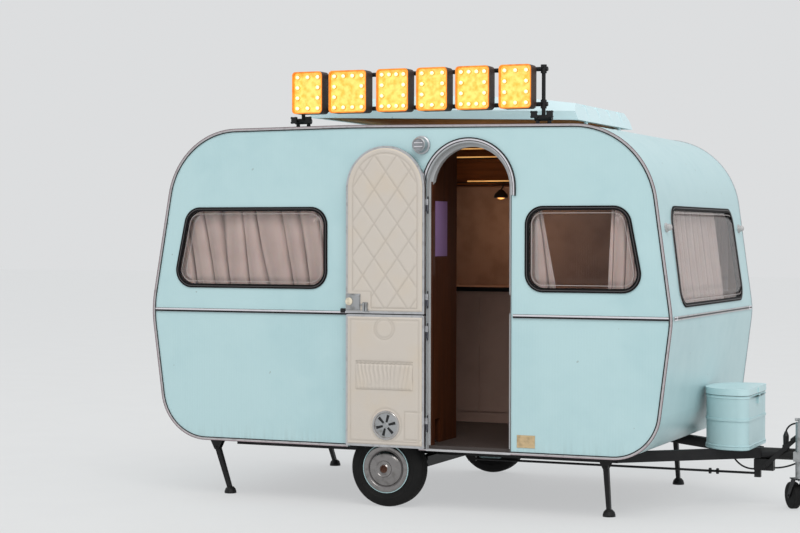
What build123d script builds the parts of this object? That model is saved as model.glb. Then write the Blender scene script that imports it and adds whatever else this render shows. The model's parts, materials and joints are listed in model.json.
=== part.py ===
"""A small touring caravan, parked on its wheels, four corner steadies and jockey wheel.

Sizes are in millimetres. While it is drawn, X runs forward from the axle, Y to the left
from the centre plane and Z up from the ground. export() moves the origin to the middle
of the overall length. The stable door on the right side stands open, folded flat.
"""

import math
import os

from build123d import *

# Overall
BODY_WIDTH = 1914.0
WALL = 28.0
HALF = BODY_WIDTH / 2
INNER = HALF - WALL
FLOOR_THICKNESS = 26.0
BODY_BOTTOM = 343.0
WAIST_HEIGHT = 1113.0
NOSE_X = 2660.0
TAIL_X = -1517.0
MID_X = (NOSE_X + TAIL_X) / 2
SEAT = 0.3
FAR = 4000.0
PIN_CLEARANCE = 0.05

# Side outline of the body: x, z and corner radius, from the rear foot clockwise
OUTLINE = [
    (-1414, BODY_BOTTOM, 300),
    (-1517, 1120, 650),
    (-1335, 2180, 458),
    (-200, 2190, 6000),
    (1547, 2166, 480),
    (1695, 1105, 420),
    (1600, BODY_BOTTOM, 270),
]
REAR_WALL_FOOT_X = -1140.0
REAR_WALL_TOP_X = -940.0
FRONT_WALL_FOOT_X = 1310.0
FRONT_WALL_TOP_X = 1140.0

# Windows: outer corners of the rubber as x and z, with one corner radius
WINDOW_RADIUS = 105.0
RUBBER_WIDTH = 24.0
RUBBER_LIP = 12.0
RUBBER_PROUD = 6.0
PANE_THICKNESS = 4.0
PANE_BULGE = 16.0
PANE_STEP = 14.0
PANE_SEAT_DEPTH = 6.0
PANE_TAPER = 60
REAR_SIDE_WINDOW = [(-1376, 1247), (-1276, 1724), (-352, 1724), (-352, 1247)]
FRONT_SIDE_WINDOW = [(855, 1247), (855, 1724), (1448, 1724), (1542, 1247)]
# End windows: bottom half width, top half width, bottom z, top z
FRONT_WINDOW = (749, 723, 1165, 1725)
REAR_WINDOW = (720, 700, 1255, 1735)

# Door
HINGE_X = 275.0
HINGE_OUT = 9.0
DOORWAY_LEFT = 267.0
DOORWAY_RIGHT = 773.5
DOORWAY_SPRING = 1827.0
SILL_HEIGHT = 349.0
LEAF_NEAR_GAP = 4.5
LEAF_WIDTH = 486.0
LEAF_SPRING = 1825.0
LEAF_PANEL = 24.0
LINING = 6.0
LINING_MARGIN = 13.0
LEAF_SPLIT = 1112.0
LEAF_SPLIT_GAP = 7.0
LEAF_BOTTOM = 355.0
LEAF_CORNER = 12.0
JAMB_GAP = 8.0
JAMB_DEPTH = 40.0
JAMB_WIDTH = 22.0
JAMB_FLANGE = 16.0
REVEAL_LINER = 2.0
SILL_PROUD = 8.0
FLOOR_NOTCH = 10.0
HINGE_HEIGHTS = {"upper": (1195.0, 1731.0), "lower": (493.0, 1014.0)}
KNUCKLE_RADIUS = 7.0
KNUCKLE_LENGTH = 34.0
PIN_RADIUS = 3.5
STRAP_THICKNESS = 2.5
STRAP_LENGTH = 34.0

# Door fittings, with the leaves open as drawn
LATCH_X = (-207.5, -124.0)
LATCH_Z = (1134.0, 1222.0)
LATCH_DEPTH = 12.0
KNOB_X = -186.8
KNOB_Z = 1181.5
KNOB_RADIUS = 17.0
CATCH_X = (-104.5, -73.5)
CATCH_Z = (1128.0, 1178.0)
STRIKER_CLEARANCE = 8.0
VENT_X = 40.0
VENT_Z = 480.0
VENT_RADIUS = 83.0
VENT_SLOTS = 6
POCKET_X = (-150.0, 205.0)
POCKET_Z = (681.0, 845.0)
POCKET_DEPTH = 15.0
POCKET_WALL = 2.5

# Wheels
AXLE_HEIGHT = 222.0
TYRE_RADIUS = 222.0
TYRE_WIDTH = 132.0
TYRE_OUTER_Y = HALF - 32.0
BEAD_RADIUS = 128.0
RIM_FLANGE = 141.0
HUB_CAP_RADIUS = 130.0
CAP_SEAT = 56.0
ARCH_RADIUS = 252.0
WHEEL_BOX_DEPTH = 190.0
WHEEL_BOX_RADIUS = 285.0
PANEL = 3.0
STUB_RADIUS = 17.0
STUB_INSET = 60.0
ARM_RADIUS = 30.0
ARM_THICKNESS = 20.0

# Chassis
RAIL_Y = HALF - 357.0
RAIL_WIDTH = 42.0
RAIL_HEIGHT = 60.0
RAIL_REAR_X = -1120.0
RAIL_FRONT_X = 1270.0
FRAME_MEET_X = 1950.0
CROSS_MEMBERS = [-1100.0, -560.0, 560.0, 1240.0]
TORSION_X = 165.0
TORSION_SIZE = 58.0

# Drawbar and hitch
DRAW_TUBE_RADIUS = 33.0
DRAW_TUBE_Z = 309.0
DRAW_TUBE_REAR_X = FRAME_MEET_X - 150.0
LEAD_RADIUS = 5.0
PLUG_X = FRAME_MEET_X + 158.0
PLUG_HEIGHT = 98.0
PLUG_PROFILE = [(0, 0), (21, 0), (21, 50), (16, 54), (17, 105), (12, 118), (7, 131), (0, 131)]
BALL_X = NOSE_X - 60.0
BALL_RADIUS = 25.0
COUPLING_RADIUS = 42.0
JOCKEY_X = FRAME_MEET_X + 255.0
JOCKEY_Y = -92.0
JOCKEY_TUBE_RADIUS = 24.0
JOCKEY_WHEEL_RADIUS = 77.0
JOCKEY_WHEEL_WIDTH = 44.0
JOCKEY_TRAIL = 88.0
JOCKEY_TURN = 125.0
JOCKEY_TOP = 525.0

# Steadies: name, pivot x, side sign, lean of the leg along x, from pivot to foot
STEADY_Y = HALF - 212.0
STEADY_PIVOT_Z = 276.0
STEADY_PAD = [(0, 0), (36, 0), (36, 10), (31, 26), (20, 38), (0, 40)]
STEADIES = [
    ("front_right", 1262.0, -1, 18.0),
    ("front_left", 1262.0, 1, 18.0),
    ("rear_right", -1185.0, -1, 85.0),
    ("rear_left", -1185.0, 1, 85.0),
]

# Gas locker
LOCKER_REAR_X = 1664.0
LOCKER_FRONT_X = 1942.0
LOCKER_HALF_WIDTH = 262.0
LOCKER_BOTTOM = BODY_BOTTOM
LOCKER_RIM = 655.0
LOCKER_TOP = 692.0
LOCKER_LIP = 5.0

# Roof hatch with its wooden kerb
HATCH_REAR_X = -560.0
HATCH_FRONT_X = 940.0
HATCH_HALF_WIDTH = HALF - 497.0
KERB_WIDTH = 45.0
KERB_HEIGHT = 30.0

# Roof lid, drawn with its lower edge level at zero: its outline from the side as x and height,
# with the top edge between the third and fourth point an arc that rises to LID_PEAK
LID_REAR_X = -668.0
LID_FRONT_X = 1030.0
LID_OUTLINE = [(LID_REAR_X, 0), (-648, 45), (-600, 90), (990, 98), (LID_FRONT_X, 0)]
LID_PEAK = (160.0, 140.0)
LID_HALF_WIDTH = HALF - 407.0
LID_LIP = 50.0
LID_SHOULDER = 120.0
LID_RIM = 40.0
LID_RIM_HEIGHT = 24.0
LID_WALL = 5.0
LID_GROOVES = (-337.0, -112.0, 112.0, 337.0)
LID_GROOVE_WIDTH = 60.0
LID_GROOVE_DEPTH = 10.0
LID_FRONT_Z = 2219.0
LID_OPEN = 1.25
LID_SHUT_SLOPE = 0.44
LID_SLOPE = LID_SHUT_SLOPE + LID_OPEN
LID_HINGE_X = 1006.0
LID_HINGE_Z = 2200.0

# Sign rack: left and right edge of each box
ROOF_TOP = 2190.0
RACK_Y = -HALF + 107.0
RACK_PIPE = 12.5
RACK_POST = 11.0
RACK_POSTS = (-560.0, 925.0)
RACK_LOW_Z = ROOF_TOP + 101.0
RACK_SPAN = 195.0
RACK_TOP_Z = RACK_LOW_Z + RACK_SPAN
RACK_FITTING = 17.0
RACK_FOOT_SPREAD = 34.0
RACK_FOOT_RISE = 40.0
SIGN_BOXES = [(-583, -390), (-348, -111), (-48, 150), (199, 388), (437, 640), (696, 887)]
SIGN_BOTTOM = RACK_LOW_Z - 27.0
SIGN_TOP = RACK_TOP_Z + 22.0
SIGN_DEPTH = 92.0
SIGN_WALL = 4.0
SIGN_RECESS = 20.0

# Lamps: centres
AWNING_LAMP_X = 238.0
AWNING_LAMP_Z = 2070.0
MARKER_Y = HALF - 102.0
MARKER_Z = 1604.0
REAR_LAMP_Y = HALF - 157.0
REAR_LAMP_Z = 760.0
SIDE_PLATE = ((812.0, 917.0), (384.0, 454.0))

# Cabin furniture, by how far each piece stands out from the wall behind it
WARDROBE_DEPTH = 448.7
KITCHEN_DEPTH = 488.7
SHELF_DEPTH = 369.0
FURNITURE_REAR_X = -330.0
WARDROBE_FRONT_X = 262.0
KITCHEN_FRONT_X = 860.0
COUNTER_TOP = 1230.0
COUNTER_THICKNESS = 26.0
COUNTER_PROUD = 14.0
CUPBOARD_DOORS = 3
LOCKER_SPAN = 900.0
SHELF_BOTTOM = 1880.0
SHELF_TOP = 2130.0
SHELF_BATTENS = (1880.0, 2032.0, 2106.0)
BATTEN_HEIGHT = 20.0
BENCH_TOP = 600.0
CUSHION_TOP = 700.0
REAR_BENCH_X = -700.0
FRONT_BENCH_X = 1000.0

RIGHT_SIDE = Plane(origin=(0, -HALF, 0), x_dir=(1, 0, 0), z_dir=(0, -1, 0))


def export(name, shape):
    """Write one piece, with the origin at the middle of the overall length."""
    export_step(Pos(-MID_X, 0, 0) * shape, os.path.join("parts", name + ".step"))


def gather(shapes):
    """Several solids as one piece."""
    return Compound(children=[s for shape in shapes for s in shape.solids()])


def block(x, y, z):
    """A box given by its (low, high) along each axis."""
    size = (x[1] - x[0], y[1] - y[0], z[1] - z[0])
    middle = ((x[0] + x[1]) / 2, (y[0] + y[1]) / 2, (z[0] + z[1]) / 2)
    return Pos(*middle) * Box(*size)


def rod(start, end, radius):
    """A round bar from one point to another."""
    line = Vector(*end) - Vector(*start)
    return extrude(Plane(origin=start, z_dir=line) * Circle(radius), line.length)


def turned(origin, direction, points):
    """A round piece from (radius, height) points, standing on origin along direction."""
    solid = revolve(Plane.XZ * make_face(Polyline(*points, close=True)), Axis.Z)
    return Plane(origin=origin, z_dir=direction).location * solid


def mirrored(shape):
    """The same piece on the other side of the centre plane."""
    return mirror(shape, Plane.XZ)


def body_outline(grow=0.0):
    """The side outline of the body, grown or shrunk all round."""
    line = FilletPolyline(*[(x, z) for x, z, r in OUTLINE], radius=[r for x, z, r in OUTLINE], close=True)
    face = make_face(line)
    return offset(face, grow) if grow else face


def across(face, y_low, y_high):
    """A side-view outline as a solid from y_low to y_high."""
    return extrude(Plane.XZ.offset(-y_high) * face, y_high - y_low, dir=(0, -1, 0))


def body_band(outer, inner, y_low, y_high):
    """The ring between two offsets of the side outline, from y_low to y_high."""
    return across(body_outline(outer) - body_outline(inner), y_low, y_high)


def rounded(corners, radius, grow=0.0):
    """A closed outline with rounded corners."""
    face = make_face(FilletPolyline(*corners, radius=radius, close=True))
    return offset(face, grow) if grow else face


def end_corners(window, plane):
    """The corners of an end window, in its own plane, from heights above the ground."""
    low_half, high_half, low_z, high_z = window
    rise = plane.y_dir.Z
    low = (low_z - plane.origin.Z) / rise
    high = (high_z - plane.origin.Z) / rise
    return [(-low_half, low), (-high_half, high), (high_half, high), (low_half, low)]


def end_plane(lower, upper, sign):
    """The flat of the front or rear wall above the waist."""
    along = Vector(upper[0] - lower[0], 0, upper[1] - lower[1]).normalized()
    side = Vector(0, sign, 0)
    origin = Vector((lower[0] + upper[0]) / 2, 0, (lower[1] + upper[1]) / 2)
    return Plane(origin=origin, x_dir=side, z_dir=side.cross(along))


FRONT_PLANE = end_plane(OUTLINE[5], OUTLINE[4], 1)
REAR_PLANE = end_plane(OUTLINE[1], OUTLINE[2], -1)


def roof_height(x):
    """Height of the roof above the ground between the shoulders."""
    (x0, z0), (x1, z1), (x2, z2) = [(x, z) for x, z, _ in OUTLINE[2:5]]
    if x < x1:
        return z0 + (z1 - z0) * (x - x0) / (x1 - x0)
    return z1 + (z2 - z1) * (x - x1) / (x2 - x1)


class Window:
    """One window: the hole in the wall, its rubber and its bulged pane."""

    def __init__(self, plane, corners):
        self.plane = plane
        self.corners = corners

    def slab(self, grow, low, high):
        """The outline grown by grow, from low to high above the wall's outer face."""
        face = self.plane.offset(low) * rounded(self.corners, WINDOW_RADIUS, grow)
        return extrude(face, high - low, dir=self.plane.z_dir)

    def hole(self):
        return self.slab(-RUBBER_LIP, -2 * WALL, WALL)

    def rubber(self):
        flange = self.slab(0, SEAT, RUBBER_PROUD)
        sleeve = self.slab(-RUBBER_LIP - SEAT, -WALL, RUBBER_PROUD)
        return flange + sleeve - self.slab(-RUBBER_WIDTH, -2 * WALL, WALL)

    def bulge(self, shrink):
        """The raised middle of the pane."""
        low = -PANE_SEAT_DEPTH - shrink
        face = rounded(self.corners, WINDOW_RADIUS, -RUBBER_WIDTH - PANE_STEP - shrink)
        top = self.plane.offset(low) * face
        return extrude(top, PANE_BULGE + PANE_SEAT_DEPTH, dir=self.plane.z_dir, taper=PANE_TAPER)

    def pane(self):
        edge = -RUBBER_WIDTH - SEAT
        sheet = self.slab(edge, -PANE_SEAT_DEPTH - PANE_THICKNESS, -PANE_SEAT_DEPTH)
        return sheet + self.bulge(0) - self.bulge(PANE_THICKNESS)


def windows():
    """All windows, the right side ones first."""
    left_side = Plane(origin=(0, HALF, 0), x_dir=(-1, 0, 0), z_dir=(0, 1, 0))
    flip = {"rear": REAR_SIDE_WINDOW, "front": FRONT_SIDE_WINDOW}
    made = {}
    for place, corners in flip.items():
        made[place + "_right"] = Window(RIGHT_SIDE, corners)
        made[place + "_left"] = Window(left_side, [(-x, z) for x, z in reversed(corners)])
    made["front"] = Window(FRONT_PLANE, end_corners(FRONT_WINDOW, FRONT_PLANE))
    made["rear"] = Window(REAR_PLANE, end_corners(REAR_WINDOW, REAR_PLANE))
    return made


def arch(left, right, bottom, spring):
    """A door outline: a rectangle with a half-round top."""
    radius = (right - left) / 2
    top = Pos((left + right) / 2, spring) * Circle(radius)
    return Pos((left + right) / 2, (bottom + spring) / 2) * Rectangle(right - left, spring - bottom) + top


def doorway(grow=0.0, bottom=SILL_HEIGHT):
    """The door opening, grown all round but at its foot."""
    return arch(DOORWAY_LEFT - grow, DOORWAY_RIGHT + grow, bottom, DOORWAY_SPRING)


def side_wall():
    """One side wall with its windows and wheel arch."""
    wall = across(body_outline(), -HALF, -INNER)
    for place in ("rear_right", "front_right"):
        wall -= WINDOWS[place].hole()
    arch_cut = Pos(0, -HALF, AXLE_HEIGHT) * Rot(90, 0, 0) * Cylinder(ARCH_RADIUS, 4 * WALL)
    return wall - arch_cut


def shell():
    """The walls, roof and floor."""
    band = body_band(0, -WALL, -INNER + SEAT, INNER - SEAT)
    wide = (-HALF, HALF)
    split_z = WAIST_HEIGHT
    rear = band & (block((-FAR, REAR_WALL_TOP_X), wide, (split_z, FAR))
                   + block((-FAR, REAR_WALL_FOOT_X), wide, (0, split_z)))
    front = band & (block((FRONT_WALL_TOP_X, FAR), wide, (split_z, FAR))
                    + block((FRONT_WALL_FOOT_X, FAR), wide, (0, split_z)))
    roof = band & block((REAR_WALL_TOP_X, FRONT_WALL_TOP_X), wide, (split_z, FAR))
    hatch = hatch_block(0)
    floor = block((REAR_WALL_FOOT_X, FRONT_WALL_FOOT_X), (-INNER + SEAT, INNER - SEAT),
                  (BODY_BOTTOM, BODY_BOTTOM + FLOOR_THICKNESS))
    for sign in (-1, 1):
        box = (sign * INNER - WHEEL_BOX_DEPTH, sign * INNER + WHEEL_BOX_DEPTH)
        floor -= across(wheel_box_outline(), *box)
    floor -= block((DOORWAY_LEFT - JAMB_FLANGE, DOORWAY_RIGHT + JAMB_FLANGE), (-HALF, -INNER + FLOOR_NOTCH),
                   (0, FAR))
    export("side_wall_right", side_wall() - across(doorway(bottom=0), -HALF - WALL, 0))
    export("side_wall_left", mirrored(side_wall()))
    export("rear_wall", rear - WINDOWS["rear"].hole())
    export("front_wall", front - WINDOWS["front"].hole())
    export("roof", roof - hatch)
    export("hatch_frame", body_band(KERB_HEIGHT, SEAT, -HALF, HALF) & (hatch_block(KERB_WIDTH) - hatch))
    export("floor", floor)


def hatch_block(grow):
    """The roof hatch from the waist upwards, grown all round."""
    half = HATCH_HALF_WIDTH + grow
    return block((HATCH_REAR_X - grow, HATCH_FRONT_X + grow), (-half, half), (WAIST_HEIGHT, FAR))


def wheel_box_outline(shrink=0.0):
    """Side view of the space for a wheel: round above the axle, straight below."""
    radius = WHEEL_BOX_RADIUS - shrink
    low = Pos(0, AXLE_HEIGHT / 2) * Rectangle(2 * radius, AXLE_HEIGHT)
    return low + Pos(0, AXLE_HEIGHT) * Circle(radius)


def wheel_boxes():
    """The covers over the wheels, inside the body."""
    end_y = -INNER + WHEEL_BOX_DEPTH - SEAT
    outer = across(wheel_box_outline(SEAT), -INNER + SEAT, end_y)
    inner = across(wheel_box_outline(SEAT + PANEL), -INNER, end_y - PANEL)
    box = (outer - inner) & block((-FAR, FAR), (-FAR, 0), (BODY_BOTTOM, FAR))
    export("wheel_boxes", gather([box, mirrored(box)]))


def trims():
    """Edge mouldings, waist rails, window rubbers and panes."""
    edge = body_band(3, -17, -HALF - 4, -HALF)
    edge -= across(doorway(bottom=0), -HALF - WALL, 0)
    edge -= Pos(0, -HALF, AXLE_HEIGHT) * Rot(90, 0, 0) * Cylinder(ARCH_RADIUS, 4 * WALL)
    whole = body_band(3, -17, HALF, HALF + 4)
    whole -= Pos(0, HALF, AXLE_HEIGHT) * Rot(90, 0, 0) * Cylinder(ARCH_RADIUS, 4 * WALL)
    export("edge_mouldings", gather([edge, whole]))
    low, high = WAIST_HEIGHT - 11, WAIST_HEIGHT + 11
    inside = across(body_outline(-17 - SEAT), -HALF - 6, -HALF)
    rail = inside & block((TAIL_X, NOSE_X), (-HALF - 6, -HALF), (low, high))
    right = rail - across(doorway(14, 0), -HALF - WALL, 0)
    front = body_band(6, SEAT, -INNER, INNER) & block((0, NOSE_X), (-HALF, HALF), (low, high))
    rear = body_band(6, SEAT, -INNER, INNER) & block((TAIL_X - 20, 0), (-HALF, HALF), (low, high))
    export("waist_rails", gather([right, mirrored(rail), front, rear]))
    export("window_rubbers", gather([w.rubber() for w in WINDOWS.values()]))
    export("window_panes", gather([w.pane() for w in WINDOWS.values()]))


def door_leaf(name, low, high, top_is_round):
    """One leaf of the stable door, open flat against the side."""
    axis_y = -HALF - HINGE_OUT
    outer_y = 2 * axis_y + HALF
    right = HINGE_X - LEAF_NEAR_GAP
    left = right - LEAF_WIDTH

    def outline(inset):
        if top_is_round:
            return arch(left + inset, right - inset, low + inset, LEAF_SPRING)
        size = (right - left - 2 * inset, high - low - 2 * inset)
        return Pos((left + right) / 2, (low + high) / 2) * RectangleRounded(*size, LEAF_CORNER)

    panel = across(outline(0), outer_y - LEAF_PANEL, outer_y)
    face_y = outer_y - LEAF_PANEL - LINING
    lining = across(outline(LINING_MARGIN), face_y, outer_y - LEAF_PANEL)
    if not top_is_round:
        lining += pocket(face_y)
    for height in HINGE_HEIGHTS[name]:
        panel += leaf_knuckle(axis_y, outer_y, height)
    export("door_" + name, panel)
    export("door_" + name + "_lining", lining)
    if top_is_round:
        door_latch(face_y)
    else:
        door_vent(face_y)


def pocket(face_y):
    """The pocket on the lower lining: fuller at its foot, open at the top."""
    def pouch(inset, depth):
        low, high = POCKET_Z[0] + inset, POCKET_Z[1]
        side = make_face(Polyline((face_y + 1, low), (face_y - depth, low + 20), (face_y - depth, low + 60),
                                  (face_y - depth / 2, high), (face_y + 1, high), close=True))
        length = POCKET_X[1] - POCKET_X[0] - 2 * inset
        return extrude(Plane.YZ.offset(POCKET_X[0] + inset) * side, length)

    backing = block(POCKET_X, (face_y, face_y + 1), POCKET_Z)
    return pouch(0, POCKET_DEPTH) - pouch(POCKET_WALL, POCKET_DEPTH - POCKET_WALL) + backing


def door_latch(face_y):
    """The latch box with its knob, and the catch that couples the leaves."""
    box = block(LATCH_X, (face_y - LATCH_DEPTH, face_y - SEAT), LATCH_Z)
    box += block((LATCH_X[0] - 4, LATCH_X[1] + 4), (face_y - 5, face_y - SEAT),
                 (LATCH_Z[0] - 4, LATCH_Z[1] + 4))
    reach = KNOB_RADIUS
    box += turned((KNOB_X, face_y - LATCH_DEPTH, KNOB_Z), (0, -1, 0),
                  [(0, -1), (0.5 * reach, -1), (0.5 * reach, 2), (reach, 3), (reach, 5), (0.6 * reach, 7.5),
                   (0, 8)])
    catch = block(CATCH_X, (face_y - 8, face_y - SEAT), CATCH_Z)
    for share in (0.25, 0.75):
        x = CATCH_X[0] + (CATCH_X[1] - CATCH_X[0]) * share
        catch += rod((x, face_y - 8, CATCH_Z[0]), (x, face_y - 8, CATCH_Z[1]), 5)
    export("door_latch", gather([box, catch]))


def door_vent(face_y):
    """The round vent in the lower leaf, with radial slots."""
    rim, dish = VENT_RADIUS, VENT_RADIUS - 15
    vent = turned((VENT_X, face_y - SEAT, VENT_Z), (0, -1, 0),
                  [(0, 0), (rim, 0), (rim, 4), (rim - 5, 8), (rim - 10, 6), (dish, 2), (16, 4), (12, 7),
                   (0, 7)])
    middle = (dish + 16) / 2
    for number in range(VENT_SLOTS):
        turn = Rot(0, 360 / VENT_SLOTS * number, 0)
        slot = turn * (Pos(middle, 0, 0) * Box(dish - 30, 30, 9))
        vent -= Pos(VENT_X, face_y - 15 - 1.5, VENT_Z) * slot
    export("door_vent", vent)


def leaf_knuckle(axis_y, outer_y, height):
    """The hinge half on a leaf: a strap on its outer face and the upper knuckle."""
    low, high = height + 0.5, height + KNUCKLE_LENGTH
    barrel = Pos(HINGE_X, axis_y, (low + high) / 2) * Cylinder(KNUCKLE_RADIUS, high - low)
    strap = block((HINGE_X - STRAP_LENGTH, HINGE_X), (outer_y, outer_y + STRAP_THICKNESS), (low, high))
    bore = Pos(HINGE_X, axis_y, (low + high) / 2) * Cylinder(PIN_RADIUS + PIN_CLEARANCE, high)
    return barrel + strap - bore


def door_hinges():
    """The hinge halves on the body: strap, lower knuckle and pin."""
    axis_y = -HALF - HINGE_OUT
    halves = []
    for heights in HINGE_HEIGHTS.values():
        for height in heights:
            low, high = height - KNUCKLE_LENGTH, height - 0.5
            barrel = Pos(HINGE_X, axis_y, (low + high) / 2) * Cylinder(KNUCKLE_RADIUS, high - low)
            strap = block((HINGE_X - STRAP_LENGTH, HINGE_X), (-HALF - STRAP_THICKNESS, -HALF - SEAT),
                          (low, high))
            pin = Pos(HINGE_X, axis_y, height) * Cylinder(PIN_RADIUS, 2 * KNUCKLE_LENGTH - 4)
            halves.append(barrel + strap + pin)
    export("door_hinges", gather(halves))


def door_surround():
    """The inner frame the leaves close against, its liner, the sill and the drip moulding."""
    outer_y = -INNER + JAMB_GAP
    floor_top = BODY_BOTTOM + FLOOR_THICKNESS + SEAT
    jamb = across(doorway(0) - doorway(-JAMB_WIDTH), outer_y, outer_y + JAMB_DEPTH)
    flange = across(doorway(JAMB_FLANGE) - doorway(-JAMB_WIDTH), -INNER + SEAT, outer_y + JAMB_DEPTH)
    frame = jamb + (flange - across(doorway(0), -HALF, outer_y))
    frame &= block((0, FAR), (-HALF, 0), (floor_top, FAR))
    striker_x = 2 * HINGE_X - LATCH_X[0]
    frame -= block((striker_x - 4 * STRIKER_CLEARANCE, DOORWAY_RIGHT),
                   (outer_y - 1, outer_y + JAMB_DEPTH + 1),
                   (LATCH_Z[0] - STRIKER_CLEARANCE, LATCH_Z[1] + STRIKER_CLEARANCE))
    liner = across(doorway(-SEAT) - doorway(-SEAT - REVEAL_LINER), -HALF, outer_y + 1)
    frame += liner & block((0, FAR), (-FAR, 0), (SILL_HEIGHT + SEAT, FAR))
    sill = block((DOORWAY_LEFT + SEAT, DOORWAY_RIGHT - SEAT),
                 (-HALF - SILL_PROUD, -INNER + FLOOR_NOTCH - SEAT),
                 (BODY_BOTTOM, SILL_HEIGHT))
    export("door_frame", gather([frame, sill]))
    drip = across(doorway(26) - doorway(12), -HALF - 9, -HALF)
    drip &= block((0, FAR), (-FAR, 0), (DOORWAY_SPRING - 43, FAR))
    export("drip_moulding", drip)


def wheel(name, sign):
    """A wheel: painted rim, chrome cap and tyre, drawn for the right side."""
    outer = TYRE_OUTER_Y
    inner = TYRE_OUTER_Y - TYRE_WIDTH
    mid = (outer + inner) / 2
    tyre_face = rounded(
        [(BEAD_RADIUS + SEAT, mid - 48), (TYRE_RADIUS - 6, inner + 4), (TYRE_RADIUS, mid - 44),
         (TYRE_RADIUS, mid + 44), (TYRE_RADIUS - 6, outer - 4), (BEAD_RADIUS + SEAT, mid + 48)], 8)
    bore = STUB_RADIUS + PIN_CLEARANCE
    rim_face = make_face(Polyline(
        [(bore, mid - 20), (60, mid - 20), (84, mid + 18), (106, mid + 18), (112, mid - 54),
         (RIM_FLANGE, mid - 60), (RIM_FLANGE, mid - 56), (BEAD_RADIUS, mid - 50), (BEAD_RADIUS, mid + 50),
         (RIM_FLANGE, mid + 56), (RIM_FLANGE, mid + 61), (133, mid + 61), (130, CAP_SEAT + mid),
         (110, CAP_SEAT + mid), (106, mid + 26), (84, mid + 26), (56, mid - 10), (bore, mid - 10)],
                                  close=True))
    cap_low = mid + CAP_SEAT + SEAT
    cap_line = [(HUB_CAP_RADIUS, cap_low + 3), (118, cap_low + 12), (106, cap_low + 8)]
    dome = ThreePointArc((106, cap_low + 8), (80, cap_low + 22), (48, cap_low + 28))
    boss = [(48, cap_low + 28), (44, cap_low + 24), (22, cap_low + 26), (19, cap_low + 31), (0, cap_low + 32)]
    foot = [(0, cap_low + 32), (0, cap_low), (HUB_CAP_RADIUS - 2, cap_low), (HUB_CAP_RADIUS, cap_low + 3)]
    cap_face = make_face(Wire([*Polyline(*cap_line).edges(), dome, *Polyline(*boss).edges(),
                               *Polyline(*foot).edges()]))
    place = Pos(0, 0, AXLE_HEIGHT)
    for piece, face in (("tyre", tyre_face), ("rim", rim_face), ("hub_cap", cap_face)):
        solid = revolve(Plane.XY * face, Axis.Y)
        solid = place * solid
        export(f"{piece}_{name}", solid if sign > 0 else mirrored(solid))


def axle():
    """The torsion axle: a square tube, trailing arms and stub axles."""
    tube_y = TYRE_OUTER_Y - TYRE_WIDTH - ARM_THICKNESS - 20
    tube_z = BODY_BOTTOM - RAIL_HEIGHT - TORSION_SIZE / 2
    half = TORSION_SIZE / 2
    whole = block((TORSION_X - half, TORSION_X + half), (-tube_y, tube_y), (tube_z - half, tube_z + half))
    side = Pos(TORSION_X, tube_z) * Circle(ARM_RADIUS) + Pos(0, AXLE_HEIGHT) * Circle(ARM_RADIUS)
    arm_face = make_hull(side.edges())
    for sign in (-1, 1):
        low_y, high_y = sorted((sign * tube_y, sign * (tube_y + ARM_THICKNESS)))
        stub_end = sign * (TYRE_OUTER_Y - STUB_INSET)
        whole += across(arm_face, low_y, high_y)
        whole += rod((0, sign * tube_y, AXLE_HEIGHT), (0, stub_end, AXLE_HEIGHT), STUB_RADIUS)
    export("axle", whole)


def chassis():
    """Side rails, cross members and the two legs that meet at the draw tube."""
    low, high = BODY_BOTTOM - RAIL_HEIGHT, BODY_BOTTOM - SEAT
    half = RAIL_WIDTH / 2
    frame = None
    for sign in (-1, 1):
        y = sign * RAIL_Y
        rail = block((RAIL_REAR_X, RAIL_FRONT_X + half), (y - half, y + half), (low, high))
        frame = rail if frame is None else frame + rail
        start = Vector(RAIL_FRONT_X, y, 0)
        end = Vector(FRAME_MEET_X, sign * DRAW_TUBE_RADIUS, 0)
        line = end - start
        leg_plane = Plane(origin=(start.X, start.Y, low), x_dir=line, z_dir=(0, 0, 1))
        leg = extrude(leg_plane * Pos(line.length / 2, 0) * Rectangle(line.length + half, RAIL_WIDTH),
                      high - low)
        frame += leg
    for x in CROSS_MEMBERS:
        frame += block((x - half, x + half), (-RAIL_Y, RAIL_Y), (low, high))
    tube_clear = rod((DRAW_TUBE_REAR_X - 1, 0, DRAW_TUBE_Z), (NOSE_X, 0, DRAW_TUBE_Z),
                     DRAW_TUBE_RADIUS + SEAT)
    export("chassis", frame - tube_clear)


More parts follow.
